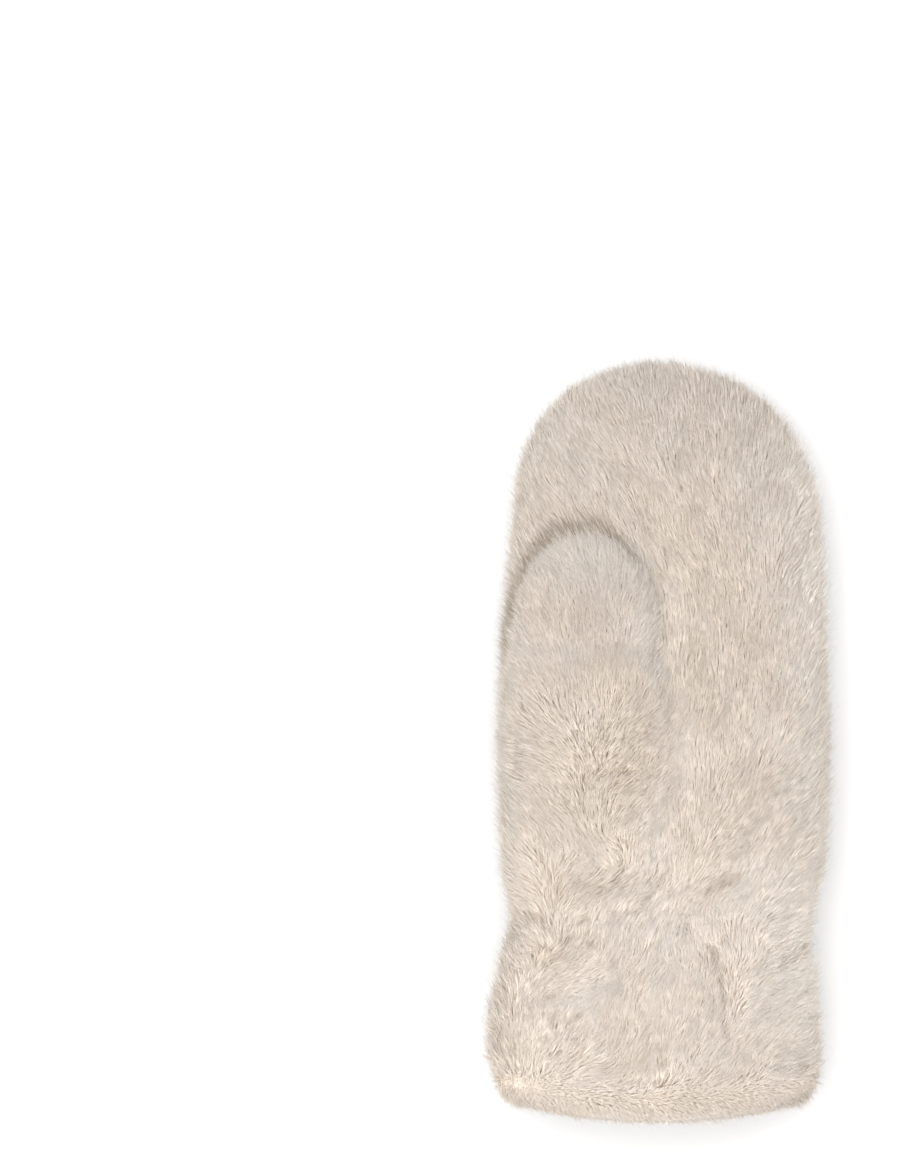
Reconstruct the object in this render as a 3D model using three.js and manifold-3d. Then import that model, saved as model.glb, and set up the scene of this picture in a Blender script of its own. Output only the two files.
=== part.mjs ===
// A left-hand fur mitten, lying on its back with the palm up and the thumb laid over the palm.
// Millimetres. +X is the little-finger side, +Y runs from the cuff's mouth to the fingertips, +Z is up.
// Five pieces: the palm and back panels of the hand, the thumb, the cuff below the gathered wrist,
// and the rolled fur edge round the cuff's mouth. Every wall is the pelt with its pile, and its outer
// face carries the pile's locks, which all lie towards the fingertips.
import * as THREE from "three";
import { mergeVertices } from "three/addons/utils/BufferGeometryUtils.js";
import Module from "manifold-3d";

const wasm = await Module();
wasm.setup();

// Driving dimensions
const LENGTH = 290; // hem to fingertips
const TIP_START = 229; // where the round fingertip end begins
const WRIST = 77; // the gathered line
const HEM_HEIGHT = 14; // of the rolled edge
const WALL = 7.5; // pelt and pile together
const SEAM_HEIGHT = 20; // the side seam above the surface that the mitten lies on
const GAP = 0.3; // between two pieces
const HAND_START = WRIST + GAP / 2; // the hand's edge at the wrist

// Outline of the hand and cuff in plan and height of the palm's crown, against the distance from the hem
const HAND = [
  { along: 0, left: -57.5, right: 55.5, top: 43 },
  { along: 8, left: -60.5, right: 59.0, top: 46 },
  { along: 18, left: -62.5, right: 60.8, top: 48 },
  { along: 35, left: -65.0, right: 61.2, top: 48 },
  { along: 55, left: -62.0, right: 60.8, top: 45.5 },
  { along: 77, left: -56.6, right: 58.6, top: 40 },
  { along: 93, left: -59.5, right: 63.0, top: 43.5 },
  { along: 115, left: -60.8, right: 64.4, top: 45.5 },
  { along: 145, left: -60.8, right: 65.0, top: 46 },
  { along: 176, left: -60.0, right: 64.2, top: 45.5 },
  { along: 205, left: -57.8, right: 63.2, top: 44 },
  { along: 229, left: -55.4, right: 60.8, top: 41.5 },
];

// Outline of the thumb in plan, how far it rises over the palm and how far its section runs on below that,
// which makes a dome of the root and a roll of the rest
const THUMB = [
  { along: 106, left: -54, right: -22, rise: 5, sink: 9 },
  { along: 118, left: -58.5, right: -5, rise: 13, sink: 8 },
  { along: 130, left: -60.2, right: 3.0, rise: 19, sink: 5 },
  { along: 145, left: -60.6, right: 4.0, rise: 23, sink: 1 },
  { along: 160, left: -59.8, right: 3.0, rise: 24, sink: 0 },
  { along: 175, left: -57.8, right: 1.8, rise: 23.5, sink: 0 },
  { along: 190, left: -55.2, right: 0.3, rise: 22, sink: 0 },
];
const THUMB_ROOT_LENGTH = 9; // round end towards the wrist
const THUMB_TIP_LENGTH = 37; // round end towards the fingertips
const THUMB_TIP_LEAN = 3; // of the tip towards the thumb's side
const THUMB_SEAT = 0.4; // between the thumb and the palm's pile
const THUMB_UNDERWALL = 5; // the thumb's own wall on its palm side
const THUMB_HOLE = { x: -29, along: 141, halfWidth: 18, halfLength: 22, top: 50 };

// Dents of the palm side: the bed that the thumb presses, and the creases that the gathered wrist throws.
// turn is the crease's direction, in degrees from +Y towards +X.
const THUMB_BED = { x: -30, along: 160, halfLength: 72, halfWidth: 33, turn: 0, depth: 6 };
const DENTS = [
  THUMB_BED,
  { x: 22, along: 42, halfLength: 28, halfWidth: 7, turn: -4, depth: 4.2 },
  { x: -33, along: 66, halfLength: 16, halfWidth: 6, turn: 49, depth: 3.6 },
  { x: -54, along: 74, halfLength: 11, halfWidth: 5.5, turn: 115, depth: 3.2 },
  { x: -28, along: 96, halfLength: 24, halfWidth: 6.5, turn: 97, depth: 3.2 },
  { x: -16, along: 85, halfLength: 16, halfWidth: 6, turn: 80, depth: 2.8 },
  { x: 21, along: 87, halfLength: 14, halfWidth: 6, turn: 59, depth: 3.2 },
  { x: 53, along: 67, halfLength: 14, halfWidth: 6, turn: 60, depth: 3.2 },
  { x: 9, along: 68, halfLength: 9, halfWidth: 6, turn: 20, depth: 2.4 },
];

// Section shape
const ROUNDNESS = 2.4; // power of the superellipse, 2 being an ellipse
const BELLY = 1.08; // how far the back would sag below the surface, which flattens it
const MOUTH_BOW = 10; // how far the side seams stand back from the mouth's middle
const MOUTH_BOW_POWER = 2.6;
const MOUTH_BOW_REACH = 60; // along the cuff

// Gathers: two waves round the wrist that die away along the mitten
const GATHERS = [
  { waves: 11, phase: 0.4, depth: 1.1 },
  { waves: 7, phase: 2.1, depth: 0.8 },
];
const GATHER_REACH = 24;

// Locks of the pile, one every two columns of the mesh, each several rows long
const LOCK_HEIGHT = 2.0;
const LOCK_RISE = [0.1, 0.45, 0.75, 1]; // row by row, from a lock's root to its tip
const VALLEY = 0.3; // share of a lock's height between two locks

// Fineness of the meshes: points round a ring, millimetres between rings, rings through a round end
const COLUMNS = 48;
const ROW_STEP = 5.6;
const CAVITY_ROW_STEP = 12;
const shown = { columns: COLUMNS, step: ROW_STEP, capRows: 9, locks: true };
const hidden = { columns: 32, step: CAVITY_ROW_STEP, capRows: 5, locks: false };
const narrowShown = { columns: 32, step: ROW_STEP, capRows: 6, locks: true };
const narrowHidden = { columns: 20, step: CAVITY_ROW_STEP, capRows: 4, locks: false };

const FUR_COLOUR = 0xdccfc1;

/** A table's columns at a distance from the hem, on a smooth curve through its rows. */
function rowAt(table, along) {
  const last = table.length - 1;
  const place = THREE.MathUtils.clamp(along, table[0].along, table[last].along);
  const nearest = (k) => table[THREE.MathUtils.clamp(k, 0, last)];
  let i = 0;
  while (i < last - 1 && place > table[i + 1].along) i++;
  const [before, from, to, after] = [i - 1, i, i + 1, i + 2].map(nearest);
  const span = to.along - from.along;
  const t = (place - from.along) / span;
  const row = { along };
  for (const key of Object.keys(from).filter((k) => k !== "along")) {
    const slopeFrom = ((to[key] - before[key]) / (to.along - before.along)) * span;
    const slopeTo = ((after[key] - from[key]) / (after.along - from.along)) * span;
    row[key] =
      (2 * t ** 3 - 3 * t ** 2 + 1) * from[key] +
      (t ** 3 - 2 * t ** 2 + t) * slopeFrom +
      (3 * t ** 2 - 2 * t ** 3) * to[key] +
      (t ** 3 - t ** 2) * slopeTo;
  }
  return row;
}

/** A sine or cosine bent to the section's superellipse. */
function squarish(value) {
  return Math.sign(value) * Math.abs(value) ** (2 / ROUNDNESS);
}

/** How deep a dent is at a point of the palm side, as a share of its full depth. */
function dentShare(dent, x, along) {
  const turn = THREE.MathUtils.degToRad(dent.turn);
  const [dx, dy] = [x - dent.x, along - dent.along];
  const lengthways = (dx * Math.sin(turn) + dy * Math.cos(turn)) / dent.halfLength;
  const across = (dx * Math.cos(turn) - dy * Math.sin(turn)) / dent.halfWidth;
  return Math.exp(-(lengthways ** 4) - across ** 2);
}

/** How far the creases and the thumb's bed press the palm side down. */
function dentAt(x, along) {
  return DENTS.reduce((sum, dent) => sum + dent.depth * dentShare(dent, x, along), 0);
}

/** How far the wrist's gathers draw the wall in, or swell it where negative. */
function gatherAt(around, along) {
  const nearness = Math.exp(-(((along - WRIST) / GATHER_REACH) ** 2));
  return GATHERS.reduce((sum, g) => sum + g.depth * Math.cos(g.waves * around + g.phase), 0) * nearness;
}

/**
 * A point of the hand or cuff. station.along is the distance from the hem, and station.cap is the angle
 * through the round fingertip end, from 0 to a quarter turn. around is the angle from the little-finger
 * seam over the palm. depth is how far the point lies inside the pile's outer face, and lift is how far
 * a lock raises it.
 */
function handPoint(station, around, depth, lift = 0) {
  const row = rowAt(HAND, station.along);
  const shrink = Math.cos(station.cap);
  const palmSide = Math.sin(around) >= 0;
  const share = squarish(Math.cos(around));
  const middle = (row.left + row.right) / 2;
  const halfWidth = (row.right - row.left) / 2;
  const halfHeight = palmSide ? row.top - SEAM_HEIGHT : SEAM_HEIGHT * BELLY;
  const bow = MOUTH_BOW * (1 - THREE.MathUtils.smoothstep(station.along, 0, MOUTH_BOW_REACH));
  const tip = (LENGTH - TIP_START - depth) * Math.sin(station.cap);
  const y = station.along + tip + bow * Math.abs(share) ** MOUTH_BOW_POWER;
  const pressed = palmSide ? dentShare(THUMB_BED, middle + halfWidth * shrink * share, y) : 0;
  const drawn = depth + gatherAt(around, station.along) - lift * (1 - pressed);
  const x = middle + (halfWidth - drawn) * shrink * share;
  let z = SEAM_HEIGHT + (halfHeight - drawn) * shrink * squarish(Math.sin(around));
  if (palmSide) z -= dentAt(x, y) * Math.sin(around) * shrink;
  return new THREE.Vector3(x, y, Math.max(z, depth));
}

/** The height of the palm's outer face under a point of the thumb's middle line, without locks. */
function bedHeight(x, along) {
  const row = rowAt(HAND, along);
  const middle = (row.left + row.right) / 2;
  const share = (x - middle) / ((row.right - row.left) / 2);
  const around = Math.acos(Math.sign(share) * Math.abs(share) ** (ROUNDNESS / 2));
  return handPoint({ along, cap: 0 }, around, 0).z;
}

/**
 * A point of the thumb. station.cap is negative through the round root and positive through the round tip.
 * The hollow, which has a depth, is drawn in at the sides and the top only: the palm shapes its floor.
 */
function thumbPoint(station, around, depth, lift = 0) {
  const row = rowAt(THUMB, station.along);
  const shrink = Math.cos(station.cap);
  const capLength = station.cap < 0 ? THUMB_ROOT_LENGTH : THUMB_TIP_LENGTH;
  const lean = station.cap > 0 ? THUMB_TIP_LEAN * (1 - shrink) : 0;
  const middle = (row.left + row.right) / 2 - lean;
  const halfWidth = (row.right - row.left) / 2 - depth + lift;
  const halfHeight = (row.rise + row.sink - depth) / 2 + lift;
  const centre = bedHeight(middle, station.along) + THUMB_SEAT + (row.rise - row.sink - depth) / 2;
  return new THREE.Vector3(
    middle + halfWidth * shrink * squarish(Math.cos(around)),
    station.along + (capLength - depth) * Math.sin(station.cap),
    centre + halfHeight * shrink * squarish(Math.sin(around)),
  );
}

/** Even steps of about the wanted size, both ends included. */
function steps(from, to, size) {
  const count = Math.max(1, Math.round(Math.abs(to - from) / size));
  return Array.from({ length: count + 1 }, (_, i) => from + ((to - from) * i) / count);
}

/** Stations along a straight stretch, then through a round end, short of its last point. */
function stationsOf(from, to, fineness) {
  const straight = steps(from, to, fineness.step).map((along) => ({ along, cap: 0 }));
  const turns = steps(0, Math.PI / 2, Math.PI / 2 / fineness.capRows).slice(1, -1);
  return straight.concat(turns.map((cap) => ({ along: to, cap })));
}

/** The lift that the pile's locks give a mesh point, staggered from one lock to the next. */
function lockLift(row, column) {
  const onRidge = column % 2 === 1;
  const stagger = Math.floor(column / 2) % 2 ? LOCK_RISE.length / 2 : 0;
  return LOCK_HEIGHT * LOCK_RISE[(row + stagger) % LOCK_RISE.length] * (onRidge ? 1 : VALLEY);
}

/** Rings of points, one for each station, with the locks raised on them. */
function ringsOf(stations, point, depth, fineness) {
  return stations.map((station, row) =>
    Array.from({ length: fineness.columns }, (_, column) => {
      const around = (2 * Math.PI * column) / fineness.columns;
      return point(station, around, depth, fineness.locks ? lockLift(row, column) : 0);
    }),
  );
}

/** The middle of a ring. */
function middleOf(ring) {
  return ring.reduce((sum, p) => sum.add(p), new THREE.Vector3()).divideScalar(ring.length);
}

/** A closed solid from triangles of points. */
function solidOf(triangles) {
  return fromGeometry(new THREE.BufferGeometry().setFromPoints(triangles.flat()));
}

/** A closed three.js geometry as a solid that can be joined and cut. */
function fromGeometry(geometry) {
  const bare = geometry.clone();
  bare.deleteAttribute("normal");
  bare.deleteAttribute("uv");
  const merged = mergeVertices(bare, 1e-4);
  const mesh = { numProp: 3, vertProperties: merged.attributes.position.array };
  return new wasm.Manifold(new wasm.Mesh({ ...mesh, triVerts: new Uint32Array(merged.index.array) }));
}

/** Two triangles for each cell between two rows of points that close on themselves. */
function strip(lower, upper) {
  return lower.flatMap((a, i) => {
    const next = (i + 1) % lower.length;
    return [
      [a, upper[i], upper[next]],
      [a, upper[next], lower[next]],
    ];
  });
}

/** A solid through rings that run along +Y, closed at each end by a fan to a point. */
function tube(rings, start, end) {
  const [first, last] = [rings[0], rings[rings.length - 1]];
  const walls = rings.slice(1).flatMap((ring, i) => strip(rings[i], ring));
  const startFan = first.map((p, i) => [start, p, first[(i + 1) % first.length]]);
  const endFan = last.map((p, i) => [end, last[(i + 1) % last.length], p]);
  return solidOf([...walls, ...startFan, ...endFan]);
}

/** The hand from a place near the wrist to the fingertips, as a full solid. */
function hand(from, depth, fineness) {
  const rings = ringsOf(stationsOf(from, TIP_START, fineness), handPoint, depth, fineness);
  const tip = handPoint({ along: TIP_START, cap: Math.PI / 2 }, 0, depth);
  return tube(rings, middleOf(rings[0]), tip);
}

/** The thumb as a full solid, round at both ends. */
function thumbBody(depth, fineness) {
  const [first, last] = [THUMB[0].along, THUMB[THUMB.length - 1].along];
  const root = { along: first, cap: -Math.PI / 4 };
  const rings = ringsOf([root, ...stationsOf(first, last, fineness)], thumbPoint, depth, fineness);
  const rootEnd = thumbPoint({ along: first, cap: -Math.PI / 2 }, 0, depth);
  const tipEnd = thumbPoint({ along: last, cap: Math.PI / 2 }, 0, depth);
  return tube(rings, rootEnd, tipEnd);
}

/** A slab between two heights, wider and longer than the mitten. */
function slab(from, to) {
  const side = 3 * LENGTH;
  return fromGeometry(new THREE.BoxGeometry(side, side, to - from).translate(0, 0, (from + to) / 2));
}

/** The upright oval through which the thumb is reached, between two heights. */
function thumbHole(from, to) {
  const { x, along, halfWidth, halfLength } = THUMB_HOLE;
  const sides = 20;
  const oval = new THREE.CylinderGeometry(1, 1, to - from, sides)
    .rotateX(Math.PI / 2)
    .scale(halfWidth, halfLength, 1)
    .translate(x, along, (from + to) / 2);
  return fromGeometry(oval);
}

/** The hand's wall, from which both panels are cut. */
function handWall() {
  return hand(HAND_START, 0, shown).subtract(hand(WRIST - ROW_STEP, WALL, hidden));
}

/** The upper half of the hand, with the hole under the thumb. */
function palmPanel(wall) {
  return wall.intersect(slab(SEAM_HEIGHT + GAP / 2, LENGTH)).subtract(thumbHole(SEAM_HEIGHT, LENGTH));
}

/** The lower half of the hand, on which the mitten lies. */
function backPanel(wall) {
  return wall.intersect(slab(-LENGTH, SEAM_HEIGHT - GAP / 2));
}

/** The thumb: a hollow tube that follows the palm below it and opens into the hole in the palm. */
function thumb() {
  const palm = hand(HAND_START, -THUMB_SEAT, shown);
  const floor = hand(HAND_START, -THUMB_SEAT - THUMB_UNDERWALL, hidden);
  const cavity = thumbBody(WALL, narrowHidden).subtract(floor);
  const hole = thumbHole(SEAM_HEIGHT, THUMB_HOLE.top);
  return thumbBody(0, narrowShown).subtract(palm).subtract(cavity).subtract(hole);
}

/**
 * A band round the hand as one wall. Its profile runs from the wrist's side down the outer face and back
 * up the inner one, and lockShare says how much of the locks' height its outer face carries.
 */
function band(profile, lockShare) {
  const sections = Array.from({ length: COLUMNS }, (_, column) =>
    profile.map(({ along, depth }, row) => {
      const lift = depth < WALL / 2 ? lockShare * lockLift(profile.length - row, column) : 0;
      return handPoint({ along, cap: 0 }, (2 * Math.PI * column) / COLUMNS, depth, lift);
    }),
  );
  return solidOf(sections.flatMap((section, i) => strip(section, sections[(i + 1) % COLUMNS])));
}

/** The flared band below the wrist. */
function cuff() {
  const [low, high] = [HEM_HEIGHT + GAP / 2, WRIST - GAP / 2];
  const outer = steps(high, low, ROW_STEP).map((along) => ({ along, depth: 0 }));
  const inner = steps(low, high, CAVITY_ROW_STEP).map((along) => ({ along, depth: WALL }));
  return band([...outer, ...inner], 1);
}

/** The rolled edge: a band round the mouth whose lower edge turns inwards in a half circle. */
function cuffHem() {
  const roll = WALL / 2;
  const top = HEM_HEIGHT - GAP / 2;
  const middle = (top + roll) / 2;
  const turn = steps(0, Math.PI, Math.PI / 6);
  const edge = turn.map((a) => ({ along: roll - roll * Math.sin(a), depth: roll - roll * Math.cos(a) }));
  const outer = [top, middle].map((along) => ({ along, depth: 0 }));
  const inner = [middle, top].map((along) => ({ along, depth: WALL }));
  return band([...outer, ...edge, ...inner], 0.5);
}

/** A named mesh of a solid, dressed in the fur's colour. */
function piece(name, solid) {
  const { vertProperties, triVerts } = solid.getMesh();
  const geometry = new THREE.BufferGeometry()
    .setAttribute("position", new THREE.BufferAttribute(vertProperties, 3))
    .setIndex(new THREE.BufferAttribute(triVerts, 1));
  geometry.computeVertexNormals();
  const material = new THREE.MeshStandardMaterial({ color: FUR_COLOUR, roughness: 0.95, metalness: 0 });
  const mesh = new THREE.Mesh(geometry, material);
  mesh.name = name;
  return mesh;
}

const wall = handWall();
const mitten = new THREE.Group();
mitten.add(
  piece("palm_panel", palmPanel(wall)),
  piece("back_panel", backPanel(wall)),
  piece("thumb", thumb()),
  piece("cuff", cuff()),
  piece("cuff_hem", cuffHem()),
);

// The origin is the middle of the mitten's box, on the surface that it lies on.
const bounds = new THREE.Box3().setFromObject(mitten);
const centre = bounds.getCenter(new THREE.Vector3());
mitten.position.set(-centre.x, -centre.y, -bounds.min.z);

export default mitten;
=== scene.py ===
"""The fur mitten's looks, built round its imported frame.

Every part of the mitten is a wall of hide, called the pelt here, and the hair that grows out of it,
called the pile. The pattern sizes are in millimetres: x runs towards the little finger, along runs
from the hem to the fingertips, and z is the height above the surface that the mitten lies on.
to_metres() turns pattern points into the frame's own metres, once, when a mesh is made.
"""

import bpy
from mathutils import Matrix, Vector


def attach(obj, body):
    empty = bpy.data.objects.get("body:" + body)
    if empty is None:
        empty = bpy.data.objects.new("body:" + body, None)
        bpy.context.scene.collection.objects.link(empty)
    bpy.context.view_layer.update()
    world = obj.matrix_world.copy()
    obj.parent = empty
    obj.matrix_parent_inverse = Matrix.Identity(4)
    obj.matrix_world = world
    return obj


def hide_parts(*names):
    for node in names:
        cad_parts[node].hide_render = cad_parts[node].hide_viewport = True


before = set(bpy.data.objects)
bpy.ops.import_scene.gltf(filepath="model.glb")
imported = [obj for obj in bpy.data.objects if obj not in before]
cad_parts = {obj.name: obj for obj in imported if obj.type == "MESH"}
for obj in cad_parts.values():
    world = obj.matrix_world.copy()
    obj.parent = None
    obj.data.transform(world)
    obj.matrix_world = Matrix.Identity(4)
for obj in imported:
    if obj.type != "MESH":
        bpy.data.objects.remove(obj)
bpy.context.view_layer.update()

import logging
import math
from collections.abc import Callable
from dataclasses import dataclass, field
from enum import Enum

import bmesh
import bpy
import numpy as np

log = logging.getLogger("mitten")

Array = np.ndarray
Points = np.ndarray
Random = np.random.Generator
Colour = tuple[float, float, float]
Place = tuple[float, float, float]
Span = tuple[float, float]
Surface = Callable[[Array, Array], Points]

BODY = "root"
MILLIMETRE = 0.001
# Where the pattern's own zero lies in the frame, in millimetres.
PATTERN_SHIFT = np.array([-0.0614, -144.983, 0.0])
# The name of a piece's own map, which holds its colours, and how many bands of warmth it has.
PILE_MAP = "OFBake"
WARMTHS = 8
# How far colours stay inside the map's sides and a band's ends, and half a hair's width on it.
MAP_MARGIN = 0.02
BAND_MARGIN = 0.06
HALF_HAIR = 0.0016
# A hair's four faces, whose corners are its root, its two sides and its tip, and where it is widest,
# as a share of its way from root to tip.
KITE = np.array([[0, 2, 1], [1, 2, 3], [0, 1, 3], [0, 3, 2]])
WIDEST = 0.46
# Over which heights the pile gets thicker from underneath the mitten to its sides.
SIDES = (3.2, 9.0)
# Over which heights above the seam a crease's painted shade comes in.
SHADE_COMES_IN = (0.5, 9.5)
# How far short of a round tip's last point the pile ends.
TIP_GAP = 0.5
FULL_TURN = 2 * math.pi
# Locks are found in cubes, which these primes spread over a table of random numbers of this length.
CUBE_PRIMES = np.array([73856093, 19349663, 83492791])
CUBE_TABLE = 4096


class Slot(Enum):
    """The record's material slots."""

    FUR = "fur"
    HIDE = "hide"


class Face(Enum):
    """Which side of a pelt a face belongs to, as its material's place."""

    HAIR_SIDE = 0
    HIDE_SIDE = 1


# Numbers and tables


def to_metres(points: Points) -> Points:
    """Pattern millimetres moved and scaled into the frame's metres."""
    return (points + PATTERN_SHIFT) * MILLIMETRE


def squarish(value: Array, roundness: float) -> Array:
    """A sine or cosine bent to a superellipse: its sign times its size to the power 2 / roundness."""
    return np.sign(value) * np.abs(value) ** (2 / roundness)


def smooth_step(value: Array, low: float, high: float) -> Array:
    """0 below low, 1 above high, and 3t squared - 2t cubed between them."""
    t = np.clip((value - low) / (high - low), 0, 1)
    return t * t * (3 - 2 * t)


def unit(vectors: Points) -> Points:
    """Each vector divided by its own length."""
    return vectors / np.maximum(np.linalg.norm(vectors, axis=-1, keepdims=True), 1e-9)


def dot(a: Points, b: Points) -> Array:
    """The dot product of each pair of vectors, kept as a column."""
    return (a * b).sum(-1, keepdims=True)


def table(text: str, columns: int) -> Array:
    """The numbers of a text, in rows of so many columns."""
    return np.array(text.split(), float).reshape(-1, columns)


@dataclass(frozen=True)
class RowTable:
    """Sections of a form, one row each: the distance from the hem, then the section's own sizes."""

    rows: Array

    def at(self, along: Array) -> list[Array]:
        """The sizes at any distance, on a cubic through the rows.

        Each span is a Hermite cubic whose slope at a row is the slope between that row's two
        neighbours, and past the first and last rows the sizes stay as they are.

        Args:
            along: distances from the hem.

        Returns:
            One array for each size, shaped like along.
        """
        knots, sizes = self.rows[:, 0], self.rows[:, 1:]
        last = len(knots) - 1
        place = np.clip(along, knots[0], knots[-1])
        i = np.searchsorted(knots[1:-1], place, side="left")
        before, after = np.maximum(i - 1, 0), np.minimum(i + 2, last)
        span = knots[i + 1] - knots[i]
        t = ((place - knots[i]) / span)[..., None]
        wide = span[..., None]
        slope_from = (sizes[i + 1] - sizes[before]) * wide / (knots[i + 1] - knots[before])[..., None]
        slope_to = (sizes[after] - sizes[i]) * wide / (knots[after] - knots[i])[..., None]
        found = (
            (2 * t**3 - 3 * t**2 + 1) * sizes[i]
            + (t**3 - 2 * t**2 + t) * slope_from
            + (3 * t**2 - 2 * t**3) * sizes[i + 1]
            + (t**3 - t**2) * slope_to
        )
        return list(np.moveaxis(found, -1, 0))


@dataclass(frozen=True)
class Ripple:
    """Smooth seeded noise: the sum of plane waves in random directions, scaled to a spread of one."""

    seed: int
    size: float
    waves: int = 20

    def at(self, points: Points) -> Array:
        """The noise at each point.

        Each wave is the cosine of the point along its own direction, times 2 pi over a length
        between 0.7 and 1.5 of size, plus its own phase.

        Args:
            points: the places, in pattern millimetres.

        Returns:
            The noise, mostly between -2 and 2.
        """
        rng = np.random.default_rng(self.seed)
        turns = unit(rng.normal(size=(self.waves, 3)))
        lengths = self.size * rng.uniform(0.7, 1.5, self.waves)
        phases = rng.uniform(0, FULL_TURN, self.waves)
        angles = points @ (turns * (FULL_TURN / lengths)[:, None]).T + phases
        return np.cos(angles).sum(-1) * math.sqrt(2 / self.waves)


@dataclass(frozen=True)
class Locks:
    """The small locks that hairs gather into: the cells round seeded points, one in each cube."""

    seed: int
    size: float

    def at(self, points: Points) -> tuple[Points, Array]:
        """The way from each point to the middle of its lock, and two numbers that its lock shares.

        Space is cut into cubes of the given size, each with one middle at a seeded place in it, and
        a point belongs to the nearest middle of its own cube and the 26 round it.

        Args:
            points: places on the skin.

        Returns:
            The way to the lock's middle, and an array of two numbers between 0 and 1 a point.
        """
        rng = np.random.default_rng(self.seed)
        table = rng.random((CUBE_TABLE, 5))
        cube = np.floor(points / self.size).astype(np.int64)
        best = np.full(len(points), np.inf)
        way = np.zeros_like(points)
        shared = np.zeros((len(points), 2))
        for step in np.ndindex(3, 3, 3):
            cell = cube + np.array(step) - 1
            key = (cell @ CUBE_PRIMES) % CUBE_TABLE
            middle = (cell + table[key, :3]) * self.size
            gap = ((middle - points) ** 2).sum(-1)
            near = gap < best
            best[near] = gap[near]
            way[near] = (middle - points)[near]
            shared[near] = table[key, 3:][near]
        return way, shared


# The forms


@dataclass(frozen=True)
class Dent:
    """A long soft hollow pressed into the palm side, turned from +Y towards +X."""

    x: float
    along: float
    half_length: float
    half_width: float
    turn: float
    depth: float

    def share(self, x: Array, along: Array) -> Array:
        """How deep the dent is at a place, as a share: e to the -(l to the 4th) - (w squared).

        Args:
            x: places across.
            along: places along.

        Returns:
            The shares, from 0 to 1.
        """
        turn = math.radians(self.turn)
        dx, dy = x - self.x, along - self.along
        lengthways = (dx * math.sin(turn) + dy * math.cos(turn)) / self.half_length
        across = (dx * math.cos(turn) - dy * math.sin(turn)) / self.half_width
        return np.exp(-(lengthways**4) - across**2)


@dataclass(frozen=True)
class Crease:
    """A crease of the palm side along straight stretches between places (x, along).

    half_width is where it has faded to a third, depth is how far it sinks, and shade is how much
    darker it paints its hair: painted shade for the shade that falls in the crease.
    """

    places: tuple[Span, ...]
    half_width: float
    depth: float
    shade: float

    def share(self, x: Array, along: Array) -> Array:
        """How much of the crease is at a place: e to the -(distance / half_width) squared.

        Args:
            x: places across.
            along: places along.

        Returns:
            The shares, from 0 to 1.
        """
        here = np.stack([x, along], -1)
        nearest = np.full(x.shape, np.inf)
        for start, end in zip(self.places, self.places[1:]):
            a, b = np.array(start), np.array(end)
            t = np.clip(((here - a) @ (b - a)) / ((b - a) @ (b - a)), 0, 1)
            nearest = np.minimum(nearest, np.linalg.norm(here - a - t[..., None] * (b - a), axis=-1))
        return np.exp(-((nearest / self.half_width) ** 2))


THUMB_BED = Dent(-30, 160, 72, 33, 0, 6)
DENTS = (
    THUMB_BED,
    Dent(22, 42, 28, 8, -4, 2.2),
    Dent(-33, 66, 16, 7, 49, 2.0),
    Dent(-54, 74, 11, 6.5, 115, 1.6),
    Dent(-28, 96, 24, 8, 97, 1.4),
    Dent(-16, 85, 16, 8, 80, 1.2),
    Dent(21, 87, 14, 8, 59, 1.4),
    Dent(53, 67, 14, 8, 60, 1.2),
    Dent(9, 68, 9, 8, 20, 1.0),
)
# Fine creases seen in the pile, each sunk by its depth and with its shade, which is painted shade
# on the hair where shade falls in the fold.
CREASES = (
    Crease(((-57, 79.5), (-51, 78.2), (-46, 78), (-43, 76.5), (-40.5, 74)), 1.1, 1.0, 0.45),
    Crease(((-60, 70), (-58, 76), (-55, 78)), 3.0, 1.0, 0.35),
    Crease(((-41.5, 62), (-36, 65.3), (-33, 71.4), (-29, 76.5)), 1.2, 0.8, 0.2),
    Crease(((-45, 48.5), (-39, 49)), 1.1, 0.6, 0.4),
    Crease(((-39.8, 38.2), (-39.4, 40)), 0.9, 0.5, 0.6),
    Crease(((-33.5, 39.5), (-30.5, 40.8)), 1.3, 0.5, 0.4),
    Crease(((-14, 34), (-13.6, 36)), 0.9, 0.4, 0.4),
    Crease(((7.5, 71.4), (11, 71.2)), 0.9, 0.6, 0.55),
    Crease(((-15.5, 95), (-13.6, 96.6)), 1.2, 0.7, 0.55),
    Crease(((-45, 101), (-42, 103.5)), 1.2, 0.5, 0.35),
    Crease(((-37, 87), (-33, 89.5), (-27, 90.5), (-24, 87)), 1.3, 0.4, 0.2),
    Crease(((-23, 87.5), (-17, 91), (-12, 92)), 1.3, 0.6, 0.25),
    Crease(((-9, 80), (-5, 85), (0, 92), (4, 96)), 1.3, 0.7, 0.35),
    Crease(((17, 87.5), (21, 89.5), (27, 92)), 1.3, 1.0, 0.5),
    Crease(((19.5, 65), (21.5, 61), (24, 52), (24.5, 45)), 1.3, 1.0, 0.45),
    Crease(((24, 45), (24.5, 30)), 1.6, 0.6, 0.25),
    Crease(((46, 61), (52, 65), (58, 67.5)), 2.0, 0.8, 0.3),
    Crease(((50, 48.3), (55, 49.5)), 1.0, 0.5, 0.35),
    Crease(((1, 22), (1.5, 27)), 1.2, 0.5, 0.3),
)
# The line round the thumb where it lies on the palm, and where the thumb's own folds are. They
# only darken the hair, with painted shade.
THUMB_CREASES = (
    Crease(((-54.6, 175), (-54, 186), (-50.4, 201), (-48, 210)), 1.8, 0, 0.8),
    Crease(((-48, 210), (-42, 218), (-37, 223.3), (-30, 225), (-22, 225.5)), 1.8, 0, 1.15),
    Crease(((-22, 225.5), (-16.5, 222.5), (-12, 216), (-7.5, 210)), 1.5, 0, 0.75),
    Crease(((-7.5, 210), (-4.8, 203), (-3.2, 191), (-4, 173)), 1.6, 0, 0.3),
    Crease(((-25, 146.5), (-21, 150.5)), 1.3, 0.6, 0.25),
)
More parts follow.
